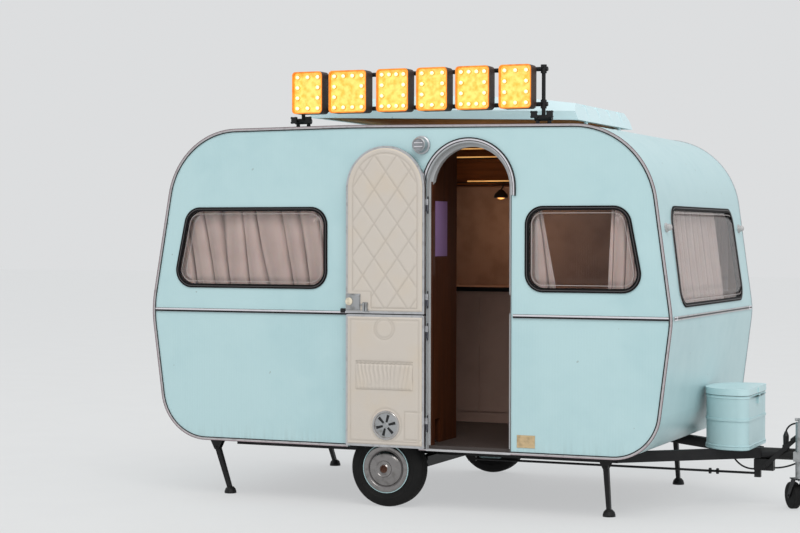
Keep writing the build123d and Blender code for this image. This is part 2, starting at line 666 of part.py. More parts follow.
def drawbar():
    """The draw tube, the junction block, the coupling head, the hand brake and the cables."""
    tube = rod((DRAW_TUBE_REAR_X, 0, DRAW_TUBE_Z), (BALL_X - 90, 0, DRAW_TUBE_Z), DRAW_TUBE_RADIUS)
    export("draw_tube", tube)
    low = DRAW_TUBE_Z - DRAW_TUBE_RADIUS
    block_x = (FRAME_MEET_X - 22, FRAME_MEET_X + 90)
    junction = block(block_x, (-26, 26), (low - 66, low - SEAT))
    junction += block((block_x[0], block_x[0] + 36), (-14, 14), (low - 108, low - 60))
    export("junction_block", junction)
    coupling()
    cables(block_x, low)
    pivot = (FRAME_MEET_X + 42, low - 40)
    lever_top = (FRAME_MEET_X + 245, DRAW_TUBE_Z + 116)
    lever_y = -DRAW_TUBE_RADIUS - 8.5
    lever = extrude(Plane.XZ.offset(DRAW_TUBE_RADIUS + 4) * trace(Polyline(pivot, lever_top), 26), 9)
    grip = rod((lever_top[0] - 45, lever_y, lever_top[1] - 36),
               (lever_top[0] + 37, lever_y, lever_top[1] + 29), 15)
    pin = rod((pivot[0], -26 - SEAT, pivot[1]), (pivot[0], lever_y - 9.5, pivot[1]), 9)
    export("hand_brake", lever + grip + pin)
    rod_z = low - 86
    brake = rod((TORSION_X + 35, 0, rod_z), (block_x[0] - SEAT, 0, rod_z), 7)
    for adjuster_x in (FRAME_MEET_X - 290, FRAME_MEET_X - 246):
        brake += rod((adjuster_x, 0, rod_z), (adjuster_x + 12, 0, rod_z), 17)
    axle_low = BODY_BOTTOM - RAIL_HEIGHT - TORSION_SIZE
    brake += block((TORSION_X - 8, TORSION_X + 40), (-12, 12), (rod_z - 14, axle_low - SEAT))
    export("brake_rod", brake)


def cables(block_x, low):
    """The leads: slack from the draw tube to the junction block, on beside the jockey wheel's sweep
    to the far side of the tube, and the parked plug with its own lead."""
    rear = ThreePointArc((block_x[0] - 122, 0, low), (block_x[0] - 62, 0, low - 52),
                         (block_x[0] + 4, 0, low - 61))
    front = ThreePointArc((block_x[1] - 4, 18, low - 52), (block_x[1] + 80, 66, low - 40),
                          (block_x[1] + 175, 36, low + 20))
    top = DRAW_TUBE_Z + DRAW_TUBE_RADIUS
    over = ThreePointArc((PLUG_X, 0, top + PLUG_HEIGHT), (PLUG_X + 62, 0, top + 145),
                         (PLUG_X + 127, 0, top + 94))
    down = TangentArc(over @ 1, (PLUG_X + 154, 0, top - 2), tangent=over % 1)
    taken = rod((DRAW_TUBE_REAR_X, 0, DRAW_TUBE_Z), (NOSE_X, 0, DRAW_TUBE_Z), DRAW_TUBE_RADIUS + SEAT)
    taken += block((block_x[0] - SEAT, block_x[1] + SEAT), (-26, 26), (low - 108, low))
    leads = []
    for arcs in ([rear], [front], [over, down]):
        route = Wire([edge for arc in arcs for edge in arc.edges()])
        start = Plane(origin=route @ 0, z_dir=route % 0)
        leads.append(sweep(start * Circle(LEAD_RADIUS), path=route))
    plug = turned((PLUG_X, 0, DRAW_TUBE_Z), (0, 0, 1), PLUG_PROFILE)
    export("cables", gather([leads[0] - taken, leads[1] - taken, (leads[2] + plug) - taken]))


def coupling():
    """The coupling head: a cup for the ball, a socket on the draw tube, a nose and a handle."""
    socket_z = DRAW_TUBE_Z + 10
    head = rod((BALL_X, 0, socket_z - 26), (BALL_X, 0, socket_z + 30), COUPLING_RADIUS)
    head += block((BALL_X - 89.7, BALL_X), (-36, 36), (socket_z - 20, socket_z + 26))
    head += block((BALL_X, NOSE_X), (-24, 24), (socket_z - 20, socket_z + 6))
    head -= Pos(BALL_X, 0, socket_z) * Sphere(BALL_RADIUS + 0.4)
    head -= rod((BALL_X, 0, socket_z - 40), (BALL_X, 0, socket_z), BALL_RADIUS + 0.4)
    corners = [(BALL_X - 20, socket_z + 40, 12), (BALL_X - 130, socket_z + 62, 8),
               (BALL_X - 40, socket_z + 28, 8)]
    handle = make_hull([Pos(x, z) * Circle(radius).edge() for x, z, radius in corners])
    export("coupling_head", head + across(handle, -15, 15))


def jockey():
    """The jockey wheel: clamp on the draw tube, sliding stem, caster fork and wheel."""
    clamp = block((JOCKEY_X - 30, JOCKEY_X + 30), (JOCKEY_Y - 36, -DRAW_TUBE_RADIUS + 12), (282, 336))
    clamp -= rod((JOCKEY_X, JOCKEY_Y, 200), (JOCKEY_X, JOCKEY_Y, 500), JOCKEY_TUBE_RADIUS + PIN_CLEARANCE)
    clamp -= rod((JOCKEY_X - 60, 0, DRAW_TUBE_Z), (JOCKEY_X + 60, 0, DRAW_TUBE_Z), DRAW_TUBE_RADIUS + SEAT)
    export("jockey_clamp", clamp)
    fork_top = 2 * JOCKEY_WHEEL_RADIUS + 22
    seat = fork_top + 6 + SEAT
    stem = rod((JOCKEY_X, JOCKEY_Y, seat), (JOCKEY_X, JOCKEY_Y, JOCKEY_TOP - 20), JOCKEY_TUBE_RADIUS)
    stem += rod((JOCKEY_X, JOCKEY_Y, fork_top - 8), (JOCKEY_X, JOCKEY_Y, seat + 1), 10)
    stem += rod((JOCKEY_X, JOCKEY_Y, JOCKEY_TOP - 20), (JOCKEY_X, JOCKEY_Y, JOCKEY_TOP), 9)
    stem += rod((JOCKEY_X - 28, JOCKEY_Y, JOCKEY_TOP - 6), (JOCKEY_X + 28, JOCKEY_Y, JOCKEY_TOP - 6), 8)
    export("jockey_stem", stem)
    turn = Pos(JOCKEY_X, JOCKEY_Y, 0) * Rot(0, 0, JOCKEY_TURN)
    hub = (JOCKEY_TRAIL, 0, JOCKEY_WHEEL_RADIUS)
    half = JOCKEY_WHEEL_WIDTH / 2 + 5
    crown = block((-24, JOCKEY_TRAIL - 20), (-half - 4, half + 4), (fork_top, fork_top + 6))
    crown -= rod((0, 0, fork_top - 20), (0, 0, fork_top + 20), 10 + PIN_CLEARANCE)
    cheek = make_hull((Pos(-6, fork_top + 3) * Circle(3) + Pos(40, fork_top + 3) * Circle(3)
                       + Pos(hub[0], hub[2]) * Circle(15)).edges())
    fork = crown
    for sign in (-1, 1):
        y = sorted((sign * half, sign * (half + 4)))
        fork += across(cheek, y[0], y[1])
    fork += rod((hub[0], -half - 8, hub[2]), (hub[0], half + 8, hub[2]), 6)
    export("jockey_fork", turn * fork)
    half = JOCKEY_WHEEL_WIDTH / 2
    tread = rounded([(3, -half), (JOCKEY_WHEEL_RADIUS, -half), (JOCKEY_WHEEL_RADIUS, half), (3, half)], 9)
    tread -= Rectangle(2 * (6 + PIN_CLEARANCE), 3 * half)
    tread &= Pos(FAR / 2, 0) * Rectangle(FAR, FAR)
    wheel_solid = revolve(Plane.XY * tread, Axis.Y)
    export("jockey_wheel", turn * Pos(*hub) * wheel_solid)


def steadies():
    """Corner steadies: a bracket under the body and a hinged leg with a foot."""
    brackets = []
    for name, pivot_x, side, lean in STEADIES:
        y = side * STEADY_Y
        bracket = None
        for cheek_y in (y - 22, y + 22):
            face = make_hull((Pos(pivot_x, STEADY_PIVOT_Z) * Circle(16)
                              + Pos(pivot_x - 45, BODY_BOTTOM - SEAT - 4) * Circle(4)
                              + Pos(pivot_x + 45, BODY_BOTTOM - SEAT - 4) * Circle(4)).edges())
            cheek = across(face, cheek_y - 2.5, cheek_y + 2.5)
            bracket = cheek if bracket is None else bracket + cheek
        bracket += block((pivot_x - 49, pivot_x + 49), (y - 24.5, y + 24.5),
                         (BODY_BOTTOM - SEAT - 4, BODY_BOTTOM - SEAT))
        bracket += rod((pivot_x, y - 30, STEADY_PIVOT_Z), (pivot_x, y + 30, STEADY_PIVOT_Z), 6)
        brackets.append(bracket)
        foot = Vector(pivot_x + lean, 0, 0)
        top = make_hull((Pos(pivot_x, STEADY_PIVOT_Z) * Circle(15) + Pos(foot.X, 22) * Circle(11)).edges())
        leg = across(top, y - 14, y + 14)
        leg += turned((foot.X, y, 0), (0, 0, 1), STEADY_PAD)
        leg -= rod((pivot_x, y - 40, STEADY_PIVOT_Z), (pivot_x, y + 40, STEADY_PIVOT_Z), 6 + PIN_CLEARANCE)
        export("steady_" + name, leg)
    export("steady_brackets", gather(brackets))


def locker_outline(grow=0.0):
    """Plan of the gas locker: square in front, round towards the body."""
    w = LOCKER_HALF_WIDTH
    corners = [(LOCKER_REAR_X, -w), (LOCKER_FRONT_X, -w), (LOCKER_FRONT_X, w), (LOCKER_REAR_X, w)]
    face = make_face(FilletPolyline(*corners, radius=[200, 60, 60, 200], close=True))
    return offset(face, grow) if grow else face


def gas_locker():
    """The gas locker on the drawbar and its hinged lid."""
    def prism(grow, low, high):
        return extrude(Pos(0, 0, low) * locker_outline(grow), high - low)

    body = prism(0, LOCKER_BOTTOM, LOCKER_RIM) - prism(-4, LOCKER_BOTTOM + 4, LOCKER_RIM + 10)
    for z in (LOCKER_BOTTOM + 4, 508):
        body += prism(5, z, z + 13) - prism(-2, z - 1, z + 20)
    body = body - rod((DRAW_TUBE_REAR_X - 1, 0, DRAW_TUBE_Z), (NOSE_X, 0, DRAW_TUBE_Z),
                      DRAW_TUBE_RADIUS + SEAT)
    lid = prism(LOCKER_LIP, LOCKER_RIM + SEAT, LOCKER_TOP) - prism(-1, LOCKER_RIM - 1, LOCKER_TOP - 5)
    axis = (LOCKER_REAR_X - LOCKER_LIP - 7, LOCKER_TOP - 5)
    for y in (-42, 42):
        lug = rod((axis[0], y - 14, axis[1]), (axis[0], y + 14, axis[1]), 4.5)
        lug += block((axis[0], axis[0] + 10), (y - 14, y + 14), (axis[1] - 2, axis[1] + 2))
        lid += lug
    lid -= rod((axis[0], -80, axis[1]), (axis[0], 80, axis[1]), 2 + PIN_CLEARANCE)
    hinge = rod((axis[0], -57, axis[1]), (axis[0], 57, axis[1]), 2)
    hinge += rod((axis[0], -27.5, axis[1]), (axis[0], 27.5, axis[1]), 4.5)
    hinge += block((axis[0] - 2, axis[0] + 2), (-27, 27), (LOCKER_RIM - 40, axis[1]))
    hinge += block((axis[0] - 2, LOCKER_REAR_X - SEAT), (-27, 27), (LOCKER_RIM - 40, LOCKER_RIM - 10))
    body += block((LOCKER_FRONT_X - 2, LOCKER_FRONT_X + 12), (-17, 17), (LOCKER_RIM - 60, LOCKER_RIM - 8))
    lid += block((LOCKER_FRONT_X, LOCKER_FRONT_X + LOCKER_LIP + 7), (-12, 12),
                 (LOCKER_RIM + 4, LOCKER_TOP - 6))
    export("locker_hinge", hinge)
    export("gas_locker", body)
    export("gas_locker_lid", lid)


def lid_outline(lower):
    """The lid from the side, with everything lower than its outer face by a wall."""
    points = [(x, max(z - lower, 0)) for x, z in LID_OUTLINE]
    peak = (LID_PEAK[0], LID_PEAK[1] - lower)
    edges = [*Polyline(*points[:3]).edges(), ThreePointArc(points[2], peak, points[3])]
    edges += [*Polyline(*points[3:]).edges(), Line(points[4], points[0])]
    return make_face(Wire(edges))


def lid_section(inset, lower):
    """The lid from the front: an upright lip, then a shoulder that slopes up to the top."""
    half = LID_HALF_WIDTH - inset
    top = LID_PEAK[1] + 1
    shoulder = half - LID_SHOULDER
    return make_face(Polyline((-half, 0), (-half, LID_LIP - lower), (-shoulder, top - lower),
                              (shoulder, top - lower),
                              (half, LID_LIP - lower), (half, 0), close=True))


def lid_form(inset, lower):
    """The lid as a whole solid, its lower edge level at zero."""
    return across(lid_outline(lower), -FAR, FAR) & extrude(Plane.YZ.offset(-FAR) * lid_section(inset, lower),
                                                           2 * FAR)


def roof_lid():
    """The lid over the roof hatch, hinged at its front and held a little open."""
    place = Pos(LID_FRONT_X, 0, LID_FRONT_Z) * Rot(0, LID_SLOPE, 0) * Pos(-LID_FRONT_X, 0, 0)
    lid = lid_form(0, 0)
    for y in LID_GROOVES:
        strip = (y - LID_GROOVE_WIDTH / 2, y + LID_GROOVE_WIDTH / 2)
        lid -= across(lid_outline(0), *strip) - across(lid_outline(LID_GROOVE_DEPTH), *strip)
    cavity_x = (LID_REAR_X + LID_RIM, LID_FRONT_X - LID_RIM)
    above_rim = block(cavity_x, (-FAR, FAR), (LID_RIM_HEIGHT, FAR))
    lid -= lid_form(LID_WALL, LID_GROOVE_DEPTH + LID_WALL) & above_rim
    rim_y = LID_HALF_WIDTH - LID_RIM
    lid -= block(cavity_x, (-rim_y, rim_y), (-1, LID_RIM_HEIGHT + 1))
    lining = block((cavity_x[0] + SEAT, cavity_x[1] - SEAT), (-rim_y + SEAT, rim_y - SEAT),
                   (10, LID_RIM_HEIGHT))
    lid = place * lid
    hinges = []
    for y in (-330, 330):
        middle = Pos(LID_HINGE_X, LID_HINGE_Z) * Circle(7)
        lug = make_hull((middle + Pos(LID_HINGE_X, LID_HINGE_Z + 24) * Circle(7)).edges())
        lid += across(lug, y - 17, y + 17)
        ears = rod((LID_HINGE_X, y - 27, LID_HINGE_Z), (LID_HINGE_X, y + 27, LID_HINGE_Z), 4)
        for near in (y - 27, y + 18):
            face = make_hull((middle + Pos(LID_HINGE_X + 5, LID_HINGE_Z - 22) * Circle(10)).edges())
            ears += across(face, near, near + 9)
        hinges.append(ears - across(body_outline(SEAT), -FAR, FAR))
    lid -= rod((LID_HINGE_X, -400, LID_HINGE_Z), (LID_HINGE_X, 400, LID_HINGE_Z), 4 + PIN_CLEARANCE)
    export("roof_lid_hinges", gather(hinges))
    export("roof_lid", lid)
    export("roof_lid_lining", place * lining)


def sign():
    """The pipe rack on the roof and its six blank light boxes."""
    rack = None
    for x in RACK_POSTS:
        roof_z = roof_height(x)
        foot_z = roof_z + RACK_FOOT_RISE
        post = rod((x, RACK_Y, foot_z), (x, RACK_Y, RACK_TOP_Z), RACK_POST)
        rack = post if rack is None else rack + post
        rack += rod((x - RACK_FOOT_SPREAD - 16, RACK_Y, foot_z), (x + RACK_FOOT_SPREAD + 16, RACK_Y, foot_z),
                    RACK_FITTING)
        for leg_x in (x - RACK_FOOT_SPREAD, x + RACK_FOOT_SPREAD):
            rack += rod((leg_x, RACK_Y, roof_z - 6), (leg_x, RACK_Y, foot_z), RACK_POST)
            rack += rod((leg_x, RACK_Y, roof_z - 6), (leg_x, RACK_Y, roof_z + 9), 28)
        for z in (RACK_LOW_Z, RACK_TOP_Z):
            rack += rod((x, RACK_Y, z - 24), (x, RACK_Y, z + 24), RACK_FITTING)
    for z in (RACK_LOW_Z, RACK_TOP_Z):
        rack += rod((RACK_POSTS[0] - 24, RACK_Y, z), (RACK_POSTS[1] + 24, RACK_Y, z), RACK_PIPE)
    export("sign_rack", rack - across(body_outline(SEAT), -FAR, FAR))
    back = RACK_Y - RACK_PIPE - SEAT
    boxes = []
    for left, right in SIGN_BOXES:
        middle = Pos((left + right) / 2, (SIGN_BOTTOM + SIGN_TOP) / 2)
        outer = middle * RectangleRounded(right - left, SIGN_TOP - SIGN_BOTTOM, 22)
        inner = offset(outer, -SIGN_WALL)
        box = across(outer, back - SIGN_DEPTH, back)
        box -= across(inner, back - SIGN_DEPTH, back - SIGN_DEPTH + SIGN_RECESS)
        for x in RACK_POSTS:
            box -= rod((x, RACK_Y, RACK_LOW_Z - FAR), (x, RACK_Y, RACK_LOW_Z + FAR), RACK_FITTING + SEAT)
        boxes.append(box)
    export("sign_boxes", gather(boxes))


def lamps():
    """Awning lamp, marker lamps, rear lamps and the blank side plate."""
    awning = turned((AWNING_LAMP_X, -HALF - SEAT, AWNING_LAMP_Z), (0, -1, 0),
                    [(0, 0), (52, 0), (52, 12), (44, 16), (40, 52), (35, 57), (30, 51), (0, 53)])
    for side in (-1, 1):
        bar_z = AWNING_LAMP_Z + side * 11
        awning += block((AWNING_LAMP_X - 26, AWNING_LAMP_X + 26), (-HALF - 57, -HALF - 45),
                        (bar_z - 3, bar_z + 3))
    export("awning_lamp", awning)
    export("side_plate", block(SIDE_PLATE[0], (-HALF - 3, -HALF - SEAT), SIDE_PLATE[1]))
    markers = []
    tails = []
    lower, upper = (-1452, 627), (-1504, 1017)
    rear_plane = end_plane(lower, upper, -1)
    for side in (-1, 1):
        height = (MARKER_Z - FRONT_PLANE.origin.Z) / FRONT_PLANE.y_dir.Z
        spot = FRONT_PLANE.from_local_coords(Vector(side * MARKER_Y, height, SEAT))
        markers.append(turned(spot, FRONT_PLANE.z_dir,
                              [(0, 0), (26, 0), (26, 8), (19, 9), (19, 24), (14, 32), (7, 36), (0, 37)]))
        height = (REAR_LAMP_Z - rear_plane.origin.Z) / rear_plane.y_dir.Z
        spot = rear_plane.from_local_coords(Vector(side * REAR_LAMP_Y, height, -20))
        base = Plane(origin=spot, x_dir=rear_plane.x_dir, z_dir=rear_plane.z_dir)
        lens = extrude(base * RectangleRounded(80, 150, 20), 38)
        tails.append(lens - across(body_outline(SEAT), -FAR, FAR))
    export("marker_lamps", gather(markers))
    export("rear_lamps", gather(tails))


def cabin():
    """What is built in behind the doorway and windows."""
    floor_z = BODY_BOTTOM + FLOOR_THICKNESS + SEAT
    side = INNER - SEAT
    inside = across(body_outline(-WALL - 4), -side, side)
    inside += block((REAR_WALL_FOOT_X, FRONT_WALL_FOOT_X), (-side, side), (floor_z, BENCH_TOP))
    reach = WHEEL_BOX_RADIUS + SEAT
    clear = block((-reach, reach), (-FAR, -INNER + WHEEL_BOX_DEPTH + SEAT), (0, AXLE_HEIGHT + reach))
    wardrobe = block((FURNITURE_REAR_X, WARDROBE_FRONT_X), (-side, -side + WARDROBE_DEPTH),
                     (floor_z, FAR)) & inside
    wardrobe -= across(doorway(JAMB_FLANGE + 2, 0), -HALF, -INNER + JAMB_GAP + JAMB_DEPTH + SEAT)
    export("wardrobe", wardrobe - clear)
    kitchen_front = side - KITCHEN_DEPTH
    kitchen = block((FURNITURE_REAR_X, KITCHEN_FRONT_X), (kitchen_front, side), (floor_z, COUNTER_TOP))
    kitchen += block((FURNITURE_REAR_X, KITCHEN_FRONT_X), (kitchen_front - COUNTER_PROUD, side),
                     (COUNTER_TOP - COUNTER_THICKNESS, COUNTER_TOP))
    width = (KITCHEN_FRONT_X - FURNITURE_REAR_X) / CUPBOARD_DOORS
    for number in range(CUPBOARD_DOORS):
        left = FURNITURE_REAR_X + number * width
        kitchen += block((left + 8, left + width - 8), (kitchen_front - 10, kitchen_front),
                         (floor_z + 70, COUNTER_TOP - 50))
    export("kitchen_unit", kitchen - mirrored(clear))
    shelf_front = side - SHELF_DEPTH
    lockers = block((-LOCKER_SPAN, LOCKER_SPAN), (shelf_front, side), (SHELF_BOTTOM, SHELF_TOP))
    for z in SHELF_BATTENS:
        lockers += block((-LOCKER_SPAN, LOCKER_SPAN), (shelf_front - 12, shelf_front), (z, z + BATTEN_HEIGHT))
    export("overhead_lockers", inside & lockers)
    pieces = []
    for x in ((-FAR, REAR_BENCH_X), (FRONT_BENCH_X, FAR)):
        pieces.append(inside & block(x, (-side, side), (floor_z, BENCH_TOP)))
        pieces.append(inside & block(x, (-side, side), (BENCH_TOP + SEAT, CUSHION_TOP)))
    export("benches", gather(pieces))


def main():
    os.makedirs("parts", exist_ok=True)
    shell()
    wheel_boxes()
    trims()
    door_leaf("upper", LEAF_SPLIT + LEAF_SPLIT_GAP / 2, None, True)
    door_leaf("lower", LEAF_BOTTOM, LEAF_SPLIT - LEAF_SPLIT_GAP / 2, False)
    door_hinges()
    door_surround()
    wheel("right", -1)
    wheel("left", 1)
    axle()
    chassis()
    drawbar()
    jockey()
    steadies()
    gas_locker()
    roof_lid()
    sign()
    lamps()
    cabin()


WINDOWS = windows()

if __name__ == "__main__":
    main()
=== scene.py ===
# %% [markdown]
# # Dressing a small touring caravan
#
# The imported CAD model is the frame: every panel, wheel and leg already has its real size and place.
# This notebook gives it its looks. Most pieces keep their CAD shape and only get a finish. What a
# CAD solid leaves plain, such as quilting, curtains, bulbs and tread, is modelled here on top of it.
# Lengths are metres, X runs forward to the coupling, Y to the left side and Z up.

# %% Start
import json
import math

import bmesh
import bpy
from mathutils import Matrix, Vector, noise

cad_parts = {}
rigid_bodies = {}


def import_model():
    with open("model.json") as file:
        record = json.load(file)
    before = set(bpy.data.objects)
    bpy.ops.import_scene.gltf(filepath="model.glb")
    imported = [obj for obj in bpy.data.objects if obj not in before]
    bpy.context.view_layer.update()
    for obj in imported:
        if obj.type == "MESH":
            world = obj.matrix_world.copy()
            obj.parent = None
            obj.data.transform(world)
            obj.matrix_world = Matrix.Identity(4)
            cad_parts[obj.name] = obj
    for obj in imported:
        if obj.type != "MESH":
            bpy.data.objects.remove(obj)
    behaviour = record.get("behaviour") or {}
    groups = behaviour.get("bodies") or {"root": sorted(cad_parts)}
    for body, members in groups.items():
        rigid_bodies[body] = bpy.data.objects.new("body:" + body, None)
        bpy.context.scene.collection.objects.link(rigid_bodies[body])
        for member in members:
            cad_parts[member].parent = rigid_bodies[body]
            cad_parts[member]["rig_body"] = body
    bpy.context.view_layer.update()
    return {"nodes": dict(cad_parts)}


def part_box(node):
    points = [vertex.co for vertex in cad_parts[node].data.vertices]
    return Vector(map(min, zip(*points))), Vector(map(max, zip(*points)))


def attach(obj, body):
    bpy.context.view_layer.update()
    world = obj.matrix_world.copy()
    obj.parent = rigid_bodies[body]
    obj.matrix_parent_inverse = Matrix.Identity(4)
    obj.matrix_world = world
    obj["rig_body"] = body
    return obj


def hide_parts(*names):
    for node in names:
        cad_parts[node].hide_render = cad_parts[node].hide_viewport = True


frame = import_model()
nodes = frame["nodes"]
scene = bpy.context.scene
print("CAD nodes:", len(nodes))

# %% [markdown]
# ## Camera
# The photograph was taken from the right side at standing eye height, with a short telephoto lens.
# A camera could be aimed with a constraint, but then its roll is lost, so its turn is built from
# three plain rotations: roll about its own axis, then pitch, then yaw.

# %% Camera
LENS_MM = 85.0
CAMERA_PLACE = (3.7606, -10.828, 1.5607)
CAMERA_YAW = 23.187
CAMERA_PITCH = -0.950
CAMERA_ROLL = 0.111

camera_data = bpy.data.cameras.new("camera")
camera_data.lens = LENS_MM
camera_data.sensor_width = 36.0
camera = bpy.data.objects.new("camera", camera_data)
scene.collection.objects.link(camera)
turn = Matrix.Rotation(math.radians(CAMERA_YAW), 4, "Z")
turn = turn @ Matrix.Rotation(math.radians(90 + CAMERA_PITCH), 4, "X")
turn = turn @ Matrix.Rotation(math.radians(CAMERA_ROLL), 4, "Z")
camera.matrix_world = Matrix.Translation(CAMERA_PLACE) @ turn
scene.camera = camera

# %% [markdown]
# ## Shader arithmetic
# A procedural finish is mostly arithmetic on numbers that change over the surface. Wiring Math nodes
# by hand is slow to read, so a small class wraps a socket, and plain Python signs add the nodes. A
# sign with its number in front, as in 1 - mask, needs the flipped form of the same node.

# %% Shader arithmetic
def operator(operation, flipped=False):
    """A method that adds a Math node for one of Python's signs."""

    def method(self, other):
        return self.math(operation, *((other, self) if flipped else (self, other)))

    return method


class Value:
    """A socket of a finish. Arithmetic on it adds Math nodes."""

    def __init__(self, finish, socket):
        self.finish = finish
        self.socket = socket

    def math(self, operation, *numbers):
        return self.finish.node("ShaderNodeMath", {"operation": operation}, dict(enumerate(numbers)))

    __add__ = operator("ADD")
    __radd__ = operator("ADD", flipped=True)
    __sub__ = operator("SUBTRACT")
    __rsub__ = operator("SUBTRACT", flipped=True)
    __mul__ = operator("MULTIPLY")
    __rmul__ = operator("MULTIPLY", flipped=True)
    __gt__ = operator("GREATER_THAN")

    def sine(self):
        return self.math("SINE", self)

    def ramp(self, low, high):
        """0 below low, 1 above high and smooth between."""
        settings = {"interpolation_type": "SMOOTHSTEP"}
        return self.finish.node("ShaderNodeMapRange", settings, {0: self, 1: low, 2: high})


# %% [markdown]
# ## A finish
# A finish is a node material with one Principled surface. In the editor each node is placed and wired
# by hand. Here one method adds any node, sets it and feeds its sockets, so that a finish reads as a few
# lines. Patterns read the object's own coordinates, which are real metres on every piece.

# %% Finish class
class Finish:
    """A node material with one Principled surface."""

    def __init__(self, name):
        self.material = bpy.data.materials.new(name)
        self.material.use_nodes = True
        self.tree = self.material.node_tree
        self.tree.nodes.clear()
        self.out = self.tree.nodes.new("ShaderNodeOutputMaterial")
        self.place = self.node("ShaderNodeTexCoord", {}, {}, "Object")

    def node(self, kind, settings, sockets, output=0):
        """Add a node, set it, feed its sockets and return one of its outputs."""
        made = self.tree.nodes.new(kind)
        for name, setting in settings.items():
            setattr(made, name, setting)
        for name, value in sockets.items():
            target = made.inputs[name]
            if isinstance(value, Value):
                self.tree.links.new(value.socket, target)
            elif target.type == "RGBA" and len(value) == 3:
                target.default_value = (*value, 1.0)
            else:
                target.default_value = value
        return Value(self, made.outputs[output])

    def axis(self, which, vector=None):
        """One coordinate, X, Y or Z, of the place on the object."""
        return self.node("ShaderNodeSeparateXYZ", {}, {0: vector or self.place}, which)

    def facing(self, which):
        """One coordinate of the surface's own direction."""
        return self.axis(which, self.node("ShaderNodeTexCoord", {}, {}, "Normal"))

    def stretched(self, scale):
        """The place with each axis scaled, for a pattern that runs one way."""
        return self.node("ShaderNodeMapping", {}, {"Vector": self.place, "Scale": scale})

    def noise(self, scale, detail=3.0, rough=0.5, at=None):
        sockets = {"Vector": at or self.place, "Scale": scale, "Detail": detail, "Roughness": rough}
        return self.node("ShaderNodeTexNoise", {}, sockets)

    def mix(self, first, second, mask):
        return self.node("ShaderNodeMix", {"data_type": "RGBA"}, {0: mask, 6: first, 7: second}, 2)

    def drawn(self, name):
        """A number that the piece's own mesh carries at each vertex."""
        return self.node("ShaderNodeAttribute", {"attribute_name": name}, {}, "Fac")

    def bump(self, height, depth, over=None):
        """A normal for relief: height runs from 0 to 1 and depth is in metres."""
        sockets = {"Strength": 1.0, "Distance": depth, "Height": height}
        if over is not None:
            sockets["Normal"] = over
        return self.node("ShaderNodeBump", {}, sockets)

    def surface(self, **sockets):
        """The Principled surface. Socket names are given with underscores for spaces."""
        named = {name.replace("_", " "): value for name, value in sockets.items()}
        shader = self.node("ShaderNodeBsdfPrincipled", {}, named)
        self.tree.links.new(shader.socket, self.out.inputs["Surface"])
        return self.material


# %% [markdown]
# ## Paint
# The body is aluminium sheet in pale mint enamel. The side sheets carry very fine upright ribs, and
# years of rain leave the colour a little uneven, with grey dirt near the lower edge. The inner faces
# of the same solids are lined with plain beige vinyl. A face knows which way it points, so the
# shader picks paint or vinyl from that, and no second solid is needed.

# %% Paint
MINT = (0.462, 0.640, 0.660)
MINT_WORN = (0.415, 0.597, 0.622)
GRIME = (0.20, 0.21, 0.18)
VINYL = (0.42, 0.27, 0.20)
VINYL_SHADE = (0.33, 0.205, 0.150)
RIB_PITCH = 0.0165
RIB_DEPTH = 0.00022
CLEAN_HEIGHT = 0.52
BODY_FOOT = 0.34


def paint(name, inside=None, ribs=False, clean=False, colours=(MINT, MINT_WORN)):
    """Mint enamel. inside is the axis and sign that lined faces look along. clean means less dirt."""
    finish = Finish(name)
    tone = finish.noise(1.7, 4.0)
    clouds = finish.noise(9.0, 3.0)
    colour = finish.mix(*colours, (tone * 0.7 + clouds * 0.3).ramp(0.4, 0.75))
    height = finish.axis("Z")
    low = 1.0 - height.ramp(BODY_FOOT, CLEAN_HEIGHT)
    streaks = finish.noise(1.0, 3.0, at=finish.stretched((60.0, 60.0, 3.0)))
    dirt = low * low * streaks.ramp(0.35, 0.9) * (0.05 if clean else 0.22)
    chips = finish.noise(26.0, 1.0).ramp(0.785, 0.80) * 0.4
    colour = finish.mix(colour, GRIME, dirt)
    colour = finish.mix(colour, GRIME, chips)
    ripple = finish.noise(5.0, 2.0)
    normal = finish.bump(ripple, 0.0012)
    if ribs:
        wave = (finish.axis("X") * (2 * math.pi / RIB_PITCH)).sine() * 0.5 + 0.5
        normal = finish.bump(wave, RIB_DEPTH, normal)
    rough = 0.30 + clouds * 0.12 + dirt * 0.4
    if inside:
        which, sign = inside
        mask = (finish.facing(which) * float(sign)) > 0.35
        lining = finish.mix(VINYL, VINYL_SHADE, clouds.ramp(0.35, 0.75))
        colour = finish.mix(colour, lining, mask)
        normal = finish.bump(finish.noise(260.0, 2.0) * mask, 0.0005, normal)
        rough = rough + mask * 0.25
    return finish.surface(Base_Color=colour, Roughness=rough, Normal=normal)


side_paint = {
    "side_wall_right": paint("side_enamel_right", ("Y", 1), ribs=True),
    "side_wall_left": paint("side_enamel_left", ("Y", -1), ribs=True),
    "front_wall": paint("front_enamel", ("X", -1)),
    "rear_wall": paint("rear_enamel", ("X", 1)),
    "roof": paint("roof_enamel", ("Z", -1)),
}
enamel = paint("plain_enamel", clean=True)
# Painted light: the roof lid and the gas locker's lid wear lighter copies of the mint, as more light falls
# on them.
LID_MINT_PAINTED_LIGHT = ((0.640, 0.795, 0.820), (0.59, 0.755, 0.785))
LOCKER_MINT_PAINTED_LIGHT = ((0.515, 0.705, 0.725), (0.47, 0.66, 0.685))
lid_enamel = paint("lid_enamel", clean=True, colours=LID_MINT_PAINTED_LIGHT)
locker_enamel = paint("locker_lid_enamel", clean=True, colours=LOCKER_MINT_PAINTED_LIGHT)
print("painted shells:", ", ".join(side_paint))

# %% [markdown]
# ## Metals, rubber and plastics
# Each of these is one noise or two over a plain base: soft scratches along mouldings, pits and dust on
# the black chassis paint, a dull bloom on rubber. A picture of scratches could be sharper, but it
# shows its borders on a long moulding. The numbers stay small, because a close look shows clean metal
# first and wear second.

